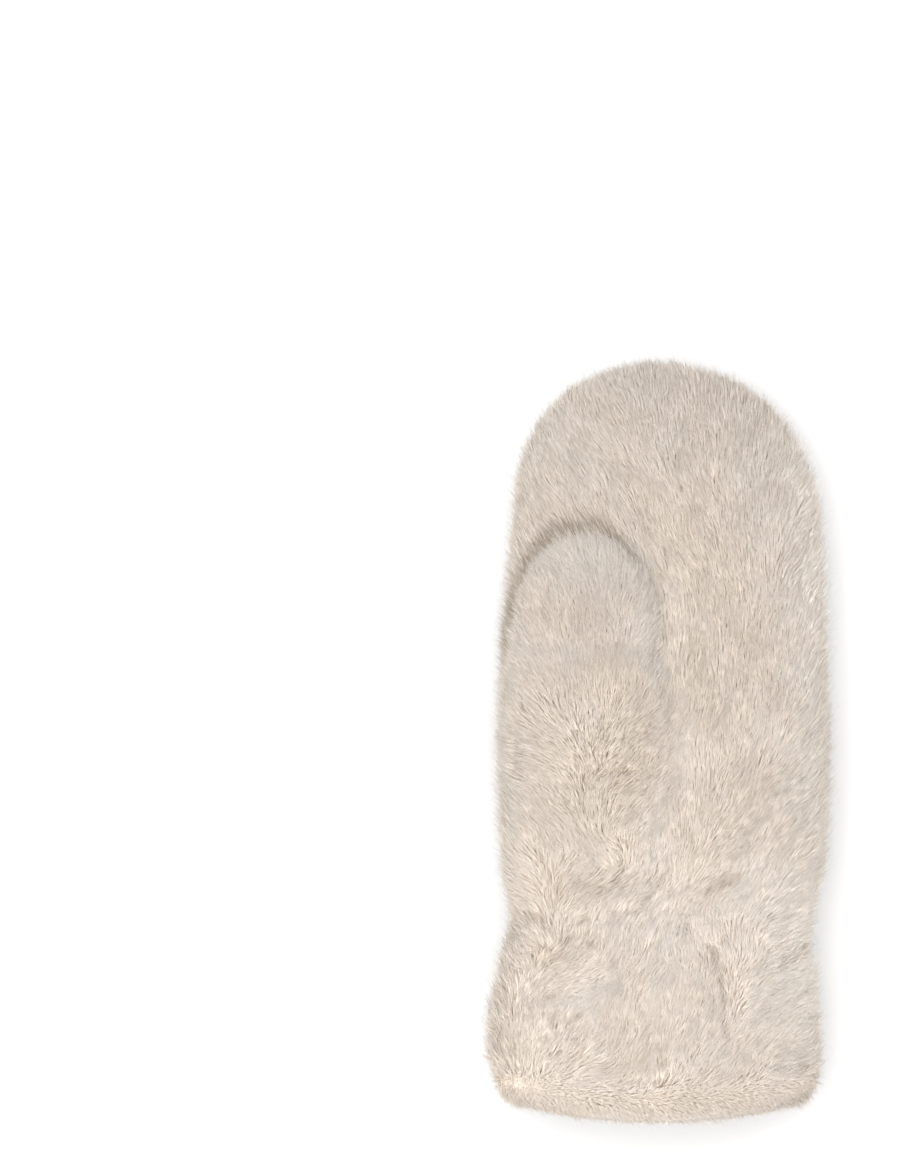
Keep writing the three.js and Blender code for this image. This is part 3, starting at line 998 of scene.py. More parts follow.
@dataclass(frozen=True)
class Tones:
    """How light and how warm the hairs of a pile are, mostly from 0 to 1.

    mottle is how much single hairs differ in lightness and by_lock how much locks do. A dark_share
    of the hairs are darker by dark, and those past light_from are lighter by light. ragged is how
    far along its way a hair is taken to be when a crease's painted shade darkens it, creased how
    strongly it does, and crease_spread how much that differs. by_place is how the lightness drifts,
    and wide and narrow how the warmth does, each a size in millimetres and a strength. single is
    how much single hairs differ in warmth.
    """

    middle: float = 0.635
    mottle: float = 0.12
    by_lock: float = 0.05
    by_place: Span = (16, 0.02)
    dark_share: float = 0.07
    dark: float = -0.4
    light_from: float = 0.9
    light: float = 0.15
    creased: float = 1.0
    ragged: float = 0.17
    crease_spread: Span = (0.2, 1.5)
    warmth: float = 0.5
    wide: Span = (34, 0.06)
    narrow: Span = (11, 0.04)
    single: float = 0.15

    @staticmethod
    def drift(spots: Points, seed: int, size: float, strength: float) -> Array:
        """Smooth noise of a size and a strength."""
        return strength * Ripple(seed, size).at(spots)

    def lightness(self, spots: Points, shared: Array, seed: int, rng: Random) -> Array:
        """How light each hair is, before creases and patches.

        Args:
            spots: where the hairs grow.
            shared: a number from 0 to 1 for each hair's lock.
            seed: the pile's seed.
            rng: the source of random numbers.

        Returns:
            The lightness.
        """
        light = self.middle + self.mottle * rng.normal(size=len(spots))
        light += self.by_lock * (shared - 0.5)
        odd = rng.random(len(spots))
        light += np.where(odd < self.dark_share, self.dark, 0)
        light += np.where(odd > self.light_from, self.light, 0)
        return light + self.drift(spots, seed + 21, *self.by_place)

    def at(
        self,
        spots: Points,
        moves: Points,
        shared: Array,
        creases: tuple[Crease, ...],
        seed: int,
        rng: Random,
    ) -> tuple[Array, Array]:
        """How light and how warm each hair is, with the creases and patches at its middle.

        Args:
            spots: where the hairs grow.
            moves: how far each hair runs along the skin.
            shared: a number from 0 to 1 for each hair's lock.
            creases: the creases whose painted shade darkens the hairs.
            seed: the pile's seed.
            rng: the source of random numbers.

        Returns:
            The lightness and the warmth.
        """
        light = self.lightness(spots, shared, seed, rng)
        count = len(spots)
        seen = spots + 0.5 * moves
        # Painted shade: a crease darkens the hairs round its middle, ragged from hair to hair.
        if creases:
            ragged = seen + moves * rng.normal(0, self.ragged, count)[:, None]
            shade = self.creased * crease_shade(ragged, creases)
            light -= shade * rng.uniform(*self.crease_spread, count)
        warm = self.warmth + self.drift(spots, seed + 31, *self.wide)
        warm += self.drift(spots, seed + 41, *self.narrow) + rng.normal(0, self.single, count)
        # The patches' light is partly the pile's own tone and partly painted light and shade.
        for patch in PATCHES:
            here = patch.share(seen)
            light, warm = light + patch.light * here, warm + patch.warmth * here
        return light, warm


@dataclass(frozen=True)
class Pile:
    """How a stretch of pile grows.

    reach is how far a hair runs along the skin and height how far its tip stands off it, width is a
    hair's width, bow how far its middle stands above the straight line from root to tip, and sunk
    how far its root lies under the skin. reaches and widths are the shares that both run between,
    and heights the least and most share of the height. disorder is the spread of the hairs' ways in
    degrees, roll the spread of their turn about themselves and bent that of their middles to the
    side. ahead is the share of its reach at which the strokes turn a hair. lock is the size of the
    locks and gathered how far they draw their tips together.

    Heights differ by place (a size and a strength), by lock and by hair, and looser times more
    where the skin faces sideways, which it does between the shares sideways. Guard hairs are thin
    and stand out by guard_stand. Where the skin faces sideways their share is fringe, they stand out
    by fringe_stand more and are shorter by fringe_short, so that the outline is soft. splay is how
    much a hair stands off the skin where its way leads off it, flatter how much lower the pile lies
    on a slope, and a pile that follows lifts its tips where the skin rises. No hair lies lower than
    floor.
    """

    reach: float = 9.6
    height: float = 2.6
    width: float = 0.185
    bow: float = 0.25
    sunk: float = 0.4
    reaches: Span = (0.8, 1.15)
    widths: Span = (0.75, 1.25)
    heights: Span = (0.4, 2.6)
    ahead: float = 0.25
    disorder: float = 4.5
    roll: float = 0.25
    bent: float = 0.1
    lock: float = 1.4
    gathered: float = 0.08
    by_place: Span = (9, 0.08)
    by_lock: float = 0.06
    by_hair: float = 0.07
    looser: float = 6
    sideways: Span = (0.45, 0.9)
    guards: float = 0.08
    guard_width: float = 0.48
    guard_stand: float = 0.1
    fringe: float = 0.3
    fringe_stand: float = 0.5
    fringe_short: float = 0.4
    splay: float = 0.6
    flatter: float = 0.45
    sloping: Span = (0.03, 0.2)
    follows: bool = True
    floor: float = 0.1
    seed: int = 1
    tones: Tones = Tones()

    @property
    def lead(self) -> float:
        """How far ahead of its root the strokes turn a hair."""
        return self.ahead * self.reach

    def lengths(self, lean: Array, rng: Random) -> Array:
        """How far each hair runs along the skin: less where its way meets the skin steeply.

        It is the reach, times a random share, times the laid way's length to the power 0.6.

        Args:
            lean: each hair's level way, laid on the skin.
            rng: the source of random numbers.

        Returns:
            The lengths.
        """
        raw = np.linalg.norm(lean, axis=-1)
        spread = rng.uniform(*self.reaches, len(raw))
        return self.reach * spread * np.clip(raw, 0.02, 1) ** 0.6

    def stand(
        self, spots: Follicles, level: Points, shared: Array, aside: Array, guard: Array, rng: Random
    ) -> Array:
        """How far each hair's tip stands off the skin.

        It differs by place, by lock and by hair, and most of all where the skin faces sideways.
        Guard hairs stand higher, by a random number of mean 1 that is 3 at most, and hairs on a
        slope lie lower. Those whose way leads off the skin splay out from it, by that way's outward
        part times a random number squared.

        Args:
            spots: where the hairs grow.
            level: each hair's level way.
            shared: a number from 0 to 1 for each hair's lock.
            aside: how far the skin faces sideways, from 0 to 1.
            guard: whether each hair is a guard hair.
            rng: the source of random numbers.

        Returns:
            The heights.
        """
        count = len(guard)
        out = np.minimum(rng.exponential(1, count), 3)
        high = 1 + self.tones.drift(spots.points, self.seed + 11, *self.by_place)
        by_hair = rng.normal(0, self.by_hair, count) * (1 + self.looser * aside)
        high += self.by_lock * (shared - 0.5) + by_hair
        high += np.where(guard, out * (self.guard_stand + self.fringe_stand * aside), 0)
        slope = smooth_step(1 - np.abs(spots.normals[:, 2]), *self.sloping) * (1 - aside)
        high = np.clip(high, *self.heights) * self.height * (1 - self.flatter * slope)
        off = np.clip(dot(level, spots.normals)[:, 0], 0, 0.7)
        return high + self.splay * self.reach * off * rng.uniform(0, 1, count) ** 2

    def grow(
        self, name: str, spots: Follicles, ways: Points, creases: tuple[Crease, ...] = ()
    ) -> bpy.types.Object:
        """The hairs of a stretch of pile, as closed slender kites.

        A hair starts a little under the skin at its root, runs along its way laid flat on the skin,
        and its tip stands its height off the skin. Its two side corners lie where it is widest, half
        a width to each side, raised by the bow. Locks draw their tips together and share a height
        and a tint.

        Args:
            name: the piece's name.
            spots: where the hairs grow.
            ways: the level way of the pile at each spot.
            creases: the creases whose painted shade darkens the hairs whose middles lie in them.

        Returns:
            The piece, with its own map.
        """
        rng = np.random.default_rng(self.seed)
        count = len(spots.points)
        normals = spots.normals
        turn = np.radians(rng.normal(0, self.disorder, count))
        level = ways * np.cos(turn)[:, None]
        level += np.stack([ways[:, 1], -ways[:, 0], ways[:, 2]], -1) * np.sin(turn)[:, None]
        lean = level - dot(level, normals) * normals
        along_skin = unit(lean)
        reach = self.lengths(lean, rng)
        to_lock, shared = Locks(self.seed, self.lock).at(spots.points)
        to_lock -= dot(to_lock, normals) * normals
        aside = smooth_step(1 - np.abs(normals[:, 2]), *self.sideways)
        guard = rng.random(count) < self.guards + (self.fringe - self.guards) * aside
        high = self.stand(spots, level, shared[:, 0], aside, guard, rng)
        reach = reach * np.where(guard, 1 - self.fringe_short * aside, 1)
        roots = spots.points - self.sunk * normals
        moves = along_skin * reach[:, None]
        tips = spots.points + moves + normals * high[:, None]
        if self.follows:
            tips += normals * spots.rise(moves)
        tips += self.gathered * to_lock
        sideways = np.cross(along_skin, normals)
        roll = rng.normal(0, self.roll, count)[:, None]
        across = sideways * np.cos(roll) + normals * np.sin(roll)
        middles = roots + WIDEST * (tips - roots) + normals * self.bow
        middles += sideways * rng.normal(0, self.bent, count)[:, None]
        wide = self.width * rng.uniform(*self.widths, count) * np.where(guard, self.guard_width, 1)
        half = across * (0.5 * wide)[:, None]
        points = np.stack([roots, middles - half, middles + half, tips], 1).reshape(-1, 3)
        points[:, 2] = np.maximum(points[:, 2], self.floor)
        faces = (KITE[None] + 4 * np.arange(count)[:, None, None]).reshape(-1, 3)
        made = mesh_object(name, points, faces)
        light, warm = self.tones.at(spots.points, moves, shared[:, 1], creases, self.seed, rng)
        self.map_hairs(made, light, warm, rng)
        return made

    def map_hairs(self, made: bpy.types.Object, light: Array, warm: Array, rng: Random) -> None:
        """Lays each hair on the piece's map, where it is a narrow kite too.

        Across is how light it is, and upwards it runs from root to tip in the band of its warmth.

        Args:
            made: the piece.
            light: how light each hair is.
            warm: how warm each hair is.
            rng: the source of random numbers.
        """
        count = len(light)
        u = MAP_MARGIN + (1 - 2 * MAP_MARGIN) * np.clip(light, 0, 1)
        band = np.floor(np.clip(warm, 0, 0.999) * (WARMTHS - 1) + rng.random(count))
        low, high = (band + BAND_MARGIN) / WARMTHS, (band + 1 - BAND_MARGIN) / WARMTHS
        middle = low + WIDEST * (high - low)
        corners = np.stack([u, low, u - HALF_HAIR, middle, u + HALF_HAIR, middle, u, high], -1)
        loops = corners.reshape(count, 4, 2)[:, KITE.ravel()].reshape(-1, 2)
        layer = made.data.uv_layers.new(name=PILE_MAP)
        layer.data.foreach_set("uv", loops.astype(np.float32).ravel())


# Finishes


@dataclass(frozen=True)
class Wire:
    """A value in a material's node tree, for use in arithmetic."""

    paint: "Paint"
    socket: bpy.types.NodeSocket

    def _math(self, operation: str, *terms: "Wire | float") -> "Wire":
        """A Math node on the terms."""
        names = ("Value", "Value_001", "Value_002")
        return self.paint.node("Math", {"operation": operation}, dict(zip(names, terms)))

    def __add__(self, other: "Wire | float") -> "Wire":
        """self + other."""
        return self._math("ADD", self, other)

    __radd__ = __add__

    def __mul__(self, other: "Wire | float") -> "Wire":
        """self * other."""
        return self._math("MULTIPLY", self, other)

    __rmul__ = __mul__

    def whole(self) -> "Wire":
        """The value rounded down."""
        return self._math("FLOOR", self)

    def rest(self) -> "Wire":
        """What is left when the value is rounded down."""
        return self._math("FRACT", self)

    def eased(self, low: float, high: float) -> "Wire":
        """0 below low and 1 above high, smooth between them."""
        values = {"Value": self, "From Min": low, "From Max": high}
        return self.paint.node("MapRange", {"interpolation_type": "SMOOTHSTEP"}, values)


class Paint:
    """A material in the making: its node tree, and ways to add to it."""

    def __init__(self, name: str) -> None:
        """Starts a material with a principled shader.

        Args:
            name: the material's name.
        """
        self.material = bpy.data.materials.new(name)
        self.material.use_nodes = True
        self.tree = self.material.node_tree
        self.shader = next(n for n in self.tree.nodes if n.type == "BSDF_PRINCIPLED")

    def _fill(self, node: bpy.types.Node, values: dict[str, object]) -> None:
        """Sets or links a node's sockets, found by identifier and then by name.

        Args:
            node: the node.
            values: numbers, colours or wires, by socket.
        """
        for key, value in values.items():
            found = [s for s in node.inputs if s.identifier == key] or [node.inputs[key]]
            if isinstance(value, Wire):
                self.tree.links.new(value.socket, found[0])
            else:
                found[0].default_value = value

    def node(
        self, kind: str, settings: dict[str, object], values: dict[str, object], out: str | int = 0
    ) -> Wire:
        """Any node.

        Args:
            kind: the node's type, without its first word.
            settings: properties that are set first.
            values: numbers, colours or wires for its sockets.
            out: which of its results is wanted.

        Returns:
            The result, as a wire.
        """
        made = self.tree.nodes.new(f"ShaderNode{kind}")
        for key, value in settings.items():
            setattr(made, key, value)
        self._fill(made, values)
        if isinstance(out, str):
            return Wire(self, next(s for s in made.outputs if out in (s.identifier, s.name)))
        return Wire(self, made.outputs[out])

    def mix(self, share: Wire, low: "Colour | Wire", high: "Colour | Wire") -> Wire:
        """A colour between two, by share.

        Args:
            share: 0 for low and 1 for high.
            low: a colour.
            high: another.

        Returns:
            The mixed colour.
        """
        ends = [c if isinstance(c, Wire) else (*c, 1.0) for c in (low, high)]
        values = {"Factor_Float": share, "A_Color": ends[0], "B_Color": ends[1]}
        return self.node("Mix", {"data_type": "RGBA"}, values, "Result_Color")

    def scaled(self, colour: Wire, by: Wire) -> Wire:
        """A colour times a number."""
        return self.node("VectorMath", {"operation": "SCALE"}, {"Vector": colour, "Scale": by})

    def tinted(self, colour: Wire, by: Wire) -> Wire:
        """A colour times a colour."""
        return self.node("VectorMath", {"operation": "MULTIPLY"}, {0: colour, 1: by})

    def place(self, stretch: Colour = (1.0, 1.0, 1.0)) -> Wire:
        """Object coordinates, stretched."""
        here = self.node("TexCoord", {}, {}, "Object")
        return self.node("Mapping", {}, {"Vector": here, "Scale": stretch})

    def noise(self, place: Wire, scale: float, detail: float = 2.0) -> Wire:
        """Noise between 0 and 1."""
        return self.node("TexNoise", {}, {"Vector": place, "Scale": scale, "Detail": detail}, 0)

    def bump(self, height: Wire, strength: float, distance: float) -> Wire:
        """A normal that a height bends."""
        values = {"Height": height, "Strength": strength, "Distance": distance}
        return self.node("Bump", {}, values)

    def finish(self, **values: object) -> bpy.types.Material:
        """Fills the shader's sockets, named with _ for a space, and gives the material."""
        self._fill(self.shader, {key.replace("_", " "): value for key, value in values.items()})
        return self.material


@dataclass(frozen=True)
class PileFinish:
    """The hair: pale, warmer and cooler by place, darker towards its root.

    deep tints the dark hairs and every hair's root, and pale the light hairs and their tips, so that
    the pile is tan in its depth and nearly neutral where it catches the light. This tint is partly the
    hair's own colour and partly a painted tint of shade and light: the roots lie in shade and the tips
    catch the lamp. by_tone is the part of that tint which the hair's lightness gives, and root how
    much darker a root is than a tip.
    """

    name: str = "pale_pile"
    warm: Colour = (0.914, 0.816, 0.714)
    cool: Colour = (0.846, 0.786, 0.729)
    deep: Colour = (1.15, 1.0, 0.84)
    pale: Colour = (0.985, 1.015, 1.05)
    dark: float = 0.45
    light: float = 1.17
    root: float = 0.95
    by_tone: float = 0.65
    roughness: float = 0.62

    def material(self) -> bpy.types.Material:
        """Reads the piece's own map: across is lightness, and upwards are bands of warmth.

        Returns:
            The material.
        """
        paint = Paint(self.name)
        here = paint.node("UVMap", {"uv_map": PILE_MAP}, {})
        across = paint.node("SeparateXYZ", {}, {"Vector": here}, "X")
        upwards = paint.node("SeparateXYZ", {}, {"Vector": here}, "Y") * float(WARMTHS)
        warmth = upwards.whole() * (1 / (WARMTHS - 1))
        up_the_hair = upwards.rest().eased(0.05, 0.7)
        tone = self.dark + (self.light - self.dark) * across
        tone = tone * (self.root + (1 - self.root) * up_the_hair)
        # Partly a painted tint: warm where hairs are dark or near the root, in shade; neutral at lit
        # tips.
        lit = across * self.by_tone + up_the_hair * (1 - self.by_tone)
        tint = paint.mix(lit, self.deep, self.pale)
        colour = paint.tinted(paint.scaled(paint.mix(warmth, self.cool, self.warm), tone), tint)
        return paint.finish(
            Base_Color=colour, Roughness=self.roughness, Specular_IOR_Level=0.25, Sheen_Weight=0.0
        )


@dataclass(frozen=True)
class SkinFinish:
    """A side of the pelt: fine streaks or nap over soft blotches.

    fine and blotchy are noises, each a scale, a detail and its part of the colour, and stretch draws
    the fine one out. raised is how strongly and how high, in metres, the fine one stands out.
    """

    name: str
    low: Colour
    high: Colour
    stretch: Place
    fine: tuple[float, float, float]
    blotchy: tuple[float, float, float]
    raised: Span
    roughness: float

    def material(self) -> bpy.types.Material:
        """Mixes two colours by both noises, with the fine one raised.

        Returns:
            The material.
        """
        paint = Paint(self.name)
        fine = paint.noise(paint.place(self.stretch), *self.fine[:2])
        blotches = paint.noise(paint.place(), *self.blotchy[:2])
        share = fine * self.fine[2] + blotches * self.blotchy[2]
        normal = paint.bump(fine, *self.raised)
        colour = paint.mix(share.eased(0.3, 0.8), self.low, self.high)
        return paint.finish(
            Base_Color=colour, Roughness=self.roughness, Specular_IOR_Level=0.2, Normal=normal
        )


# The hair side: dense short underfur in streaks along the mitten, seen only where the pile parts.
UNDERFUR = SkinFinish(
    name="underfur",
    low=(0.81, 0.71, 0.605),
    high=(0.93, 0.83, 0.725),
    stretch=(1.0, 0.16, 1.0),
    fine=(2600, 3, 0.75),
    blotchy=(90, 2, 0.35),
    raised=(0.6, 0.0006),
    roughness=0.9,
)
# The flesh side: matt suede, napped and a little blotchy.
SUEDE = SkinFinish(
    name="suede_hide",
    low=(0.46, 0.375, 0.29),
    high=(0.62, 0.525, 0.42),
    stretch=(1.0, 1.0, 1.0),
    fine=(1900, 4, 0.45),
    blotchy=(55, 3, 0.65),
    raised=(0.5, 0.0004),
    roughness=0.92,
)


@dataclass(frozen=True)
class Wardrobe:
    """The finishes as materials, made once and shared by every piece."""

    pile: bpy.types.Material
    pelt: bpy.types.Material
    hide: bpy.types.Material

    @staticmethod
    def made() -> "Wardrobe":
        """All of them."""
        return Wardrobe(PileFinish().material(), UNDERFUR.material(), SUEDE.material())


# The sub-assemblies


@dataclass
class Part:
    """One sub-assembly: a pelt and its pile, which stand for one node of the frame.

    skin_depth is how far the skin lies inside the outer form, and wall how far its hide side does.
    A ring's wall goes all the way round, and around are the angles of its upper half's sides or of
    an open part's.
    per_mm2 is how many hairs grow on a square millimetre, and underneath the share of them that is
    left where the part lies. unrest is how much their way drifts: pairs of a size in millimetres
    and a spread in degrees.
    """

    node: str
    wardrobe: Wardrobe
    skin_depth: float = 2.0
    wall: float = 7.5
    ring: bool = False
    around: Span = (0.0, math.pi)
    per_mm2: float = 4.3
    underneath: float = 0.16
    unrest: tuple[Span, ...] = ((34, 4), (9, 5), (3.6, 3))
    pile: Pile = Pile()
    pieces: list[bpy.types.Object] = field(default_factory=list)

    def surface(self, u: Array, v: Array, depth: float) -> Points:
        """The part's form at a depth inside it."""
        return HAND.point(u, v, depth)

    def skin(self, u: Array, v: Array) -> Points:
        """The skin: the part's form at the skin's depth."""
        return self.surface(u, v, self.skin_depth)

    def cut(self, middles: Points) -> Array:
        """Where the wall is cut through: nowhere, unless a part has a hole."""
        return np.zeros(middles.shape[:2], bool)

    def keep(self, piece: bpy.types.Object, slot: Slot, *finishes: bpy.types.Material) -> None:
        """Dresses a finished piece, lets it ride on the body and stand for the node, and reports it.

        Args:
            piece: the finished piece.
            slot: not used.
            finishes: its materials, by place.
        """
        for finish in finishes:
            piece.data.materials.append(finish)
        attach(piece, BODY)
        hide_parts(self.node)
        self.pieces.append(piece)
        log.info("%s: %d faces", piece.name, len(piece.data.polygons))

    def keep_wall(self, stations: Array, around: Array, hide: float) -> None:
        """Makes the pelt between the skin and its hide side, and keeps it.

        Args:
            stations: where its rows are.
            around: where its columns are.
            hide: how deep its hide side lies.
        """
        rows, across = np.meshgrid(stations, around, indexing="ij")
        outer = self.skin(across, rows)
        inner = self.surface(across, rows, hide)
        corners = np.concatenate([outer, outer[:, :1]], 1) if self.ring else outer
        left = ~self.cut((corners[:-1, :-1] + corners[1:, 1:]) / 2)
        made = walled(f"{self.node}_pelt", outer, inner, left, self.ring)
        self.keep(made, Slot.HIDE, self.wardrobe.pelt, self.wardrobe.hide)

    def combed(self, strokes: Array, spots: Follicles, lead: float | None = None) -> Points:
        """The level way of the pile at each spot.

        Args:
            strokes: the strokes that comb it.
            spots: where the hairs grow.
            lead: how far ahead of a hair they are read, or None for the pile's own.

        Returns:
            The ways.
        """
        ahead = self.pile.lead if lead is None else lead
        return Combing(strokes, self.pile.seed, self.unrest).ways(spots.points, ahead)

    def keep_pile(
        self, name: str, spots: Follicles, ways: Points, creases: tuple[Crease, ...] = ()
    ) -> None:
        """Grows a piece of the pile, and keeps it.

        Args:
            name: the piece's name, after the node's.
            spots: where the hairs grow.
            ways: the level way of the pile at each spot.
            creases: the creases whose painted shade darkens it.
        """
        made = self.pile.grow(f"{self.node}_{name}", spots, ways, creases)
        self.keep(made, Slot.FUR, self.wardrobe.pile)

    def thin_underneath(self, spots: Follicles, rng: Random) -> Follicles:
        """The pile at the sides, and a share of it where the mitten lies.

        Args:
            spots: where the hairs would grow.
            rng: the source of random numbers.

        Returns:
            Where they do.
        """
        sides = smooth_step(spots.points[:, 2], *SIDES)
        return spots.thinned(self.underneath + (1 - self.underneath) * sides, rng)


@dataclass
class HandPanel(Part):
    """One half of the hand, from the gathered wrist to the fingertips.

    Its pelt ends just short of the seam, by edge. Its pile is grown in as many pieces as it shares.
    """

    start: float = 77.15
    edge: float = 0.004
    columns: int = 53
    rows: int = 42
    tip_rows: int = 20
    strokes: Array = field(default_factory=lambda: COMB_STROKES)
    shares: int = 3
    creases: tuple[Crease, ...] = ()

    def build_pelt(self) -> None:
        """The wall: the hand's form at the skin's depth and at the hide's, over this half."""
        low, high = self.around
        around = np.linspace(low + self.edge, high - self.edge, self.columns)
        straight = np.linspace(self.start, HAND.tip_start, self.rows)
        turn = HAND.tip_start + HAND.tip_arc * np.linspace(0, 1, self.tip_rows + 1)[1:]
        self.keep_wall(np.append(straight, turn), around, self.wall)

    def follicles(self, rng: Random) -> Follicles:
        """Where this half's hairs grow."""
        return scatter(self.skin, self.around, (self.start, HAND.end - TIP_GAP), self.per_mm2, rng)

    def build_pile(self) -> None:
        """The pile, in pieces from the wrist to the fingertips, so that none is too large."""
        rng = np.random.default_rng(self.pile.seed)
        spots = self.follicles(rng)
        ways = self.combed(self.strokes, spots)
        order = np.argsort(np.argsort(spots.points[:, 1])) * self.shares // len(ways)
        for i in range(self.shares):
            chosen = order == i
            self.keep_pile(f"pile_{i + 1}", spots.kept(chosen), ways[chosen], self.creases)


@dataclass
class PalmPanel(HandPanel):
    """The upper half, with the oval hole that the thumb is reached through.

    Its pile ends thumb_margin inside the thumb.
    """

    strokes: Array = field(default_factory=lambda: np.vstack([COMB_STROKES, ROOT_STROKES]))
    creases: tuple[Crease, ...] = CREASES + THUMB_CREASES
    hole_place: Span = (-29, 141)
    hole_half: Span = (18, 22)
    thumb_margin: float = 16.0

    def skin(self, u: Array, v: Array) -> Points:
        """The skin, which runs up onto the thumb's root.

        Args:
            u: the angles round the sections.
            v: the stations.

        Returns:
            The points, in pattern millimetres.
        """
        points = super().skin(u, v)
        points[..., 2] += THUMB.bank(points, self.skin_depth)
        return points

    def cut(self, middles: Points) -> Array:
        """The oval under the thumb."""
        offset = (middles[..., :2] - self.hole_place) / self.hole_half
        return (offset**2).sum(-1) < 1

    def follicles(self, rng: Random) -> Follicles:
        """Hairs everywhere but well under the thumb."""
        spots = super().follicles(rng)
        return spots.kept(~THUMB.covers(spots.points, self.skin_depth, self.thumb_margin))


@dataclass
class BackPanel(HandPanel):
    """The lower half, on which the mitten lies, so its pile is pressed thin underneath."""

    around: Span = (math.pi, FULL_TURN)
    strokes: Array = field(default_factory=lambda: BACK_STROKES)
    per_mm2: float = 1.8
    shares: int = 1
    pile: Pile = Pile(seed=3, width=0.4)

    def follicles(self, rng: Random) -> Follicles:
        """Hairs at the sides, and a few underneath."""
        return self.thin_underneath(super().follicles(rng), rng)


@dataclass
class Thumb(Part):
    """The thumb: a trough of hide over the hole in the palm, furred all over its shown side.

    Its pile starts where its skin is clear of the palm's, but over mixed_over millimetres before
    the blend it starts up to mixed deeper, so that both piles mix. root_share is how much of the
    root's round end is furred.
    """

    around: Span = (-0.7, math.pi + 0.7)
    per_mm2: float = 5.6
    clear: float = 0.4
    mixed: float = 2.8
    mixed_over: float = 12.0
    root_share: float = 0.6
    columns: int = 49
    root_rows: int = 6
    rows: int = 30
    tip_rows: int = 18
    unrest: tuple[Span, ...] = ((20, 5), (7, 4), (3.4, 2))
    pile: Pile = Pile(seed=5, disorder=6, gathered=0.03, width=0.17, tones=Tones(creased=0.15))

    def surface(self, u: Array, v: Array, depth: float) -> Points:
        """The thumb's form at a depth inside it."""
        return THUMB.point(u, v, depth)

    def build_pelt(self) -> None:
        """The wall: the thumb's form at the skin's depth and at the hide's, open underneath."""
        root = THUMB.first - THUMB.root_arc * np.linspace(1, 0, self.root_rows + 1)[:-1]
        straight = np.linspace(THUMB.first, THUMB.last, self.rows)
        tip = THUMB.last + THUMB.tip_arc * np.linspace(0, 1, self.tip_rows + 1)[1:]
        around = np.linspace(*self.around, self.columns)
        self.keep_wall(np.concatenate([root, straight, tip]), around, self.wall)

    def build_pile(self) -> None:
        """The pile, wherever the thumb's skin stands out of the palm's."""
        rng = np.random.default_rng(self.pile.seed)
        first = THUMB.first - THUMB.root_arc * self.root_share
        stations = (first, THUMB.last + THUMB.tip_arc - TIP_GAP)
        spots = scatter(self.skin, self.around, stations, self.per_mm2, rng)
        x, along = spots.points[:, 0], spots.points[:, 1]
        palm = HAND.palm_height(x, along, self.skin_depth)
        palm = palm + THUMB.bank(np.stack([x, along, palm], -1), self.skin_depth)
        blend = THUMB.blend_from
        under = self.mixed * smooth_step(along, blend - self.mixed_over, blend)
        spots = spots.kept(spots.points[:, 2] > palm + self.clear - under)
        ways = self.combed(np.vstack([THUMB_STROKES, FOOT_STROKES]), spots)
        self.keep_pile("pile", spots, ways, THUMB_CREASES)


@dataclass
class Cuff(Part):
    """The flared band below the gathered wrist.

    Its pile runs overlap past the band's low end, where it thins out by fade, and stops gap before
    its high one. lower is how much sparser it is on the lower half.
    """

    ring: bool = True
    low: float = 14.15
    high: float = 76.85
    columns: int = 104
    rows: int = 22
    per_mm2: float = 4.7
    lower: float = 0.45
    overlap: float = 3.0
    fade: float = 1.0
    gap: float = 0.3
    unrest: tuple[Span, ...] = ((22, 6), (7, 8), (3.4, 5))
    pile: Pile = Pile(seed=9, reach=9.4, height=2.8, disorder=6)

    def build_pelt(self) -> None:
        """The wall: a band between the skin's depth and the hide's."""
        around = np.linspace(0, FULL_TURN, self.columns + 1)[:-1]
        self.keep_wall(np.linspace(self.low, self.high, self.rows), around, self.wall)

    def build_pile(self) -> None:
        """The pile: combed in swirls above, plainly at the sides and thin underneath."""
        rng = np.random.default_rng(self.pile.seed)
        start = self.low - self.overlap
        span = (start, self.high - self.gap)
        top = scatter(self.skin, self.around, span, self.per_mm2, rng)
        top = top.thinned(smooth_step(top.at[:, 1], start, self.low - self.fade), rng)
        self.keep_pile("pile", top, self.combed(COMB_STROKES, top), CREASES)
        below = (math.pi, FULL_TURN)
        under = scatter(self.skin, below, span, self.lower * self.per_mm2, rng)
        under = self.thin_underneath(under, rng)
        self.keep_pile("pile_under", under, self.combed(BACK_STROKES, under, 0))


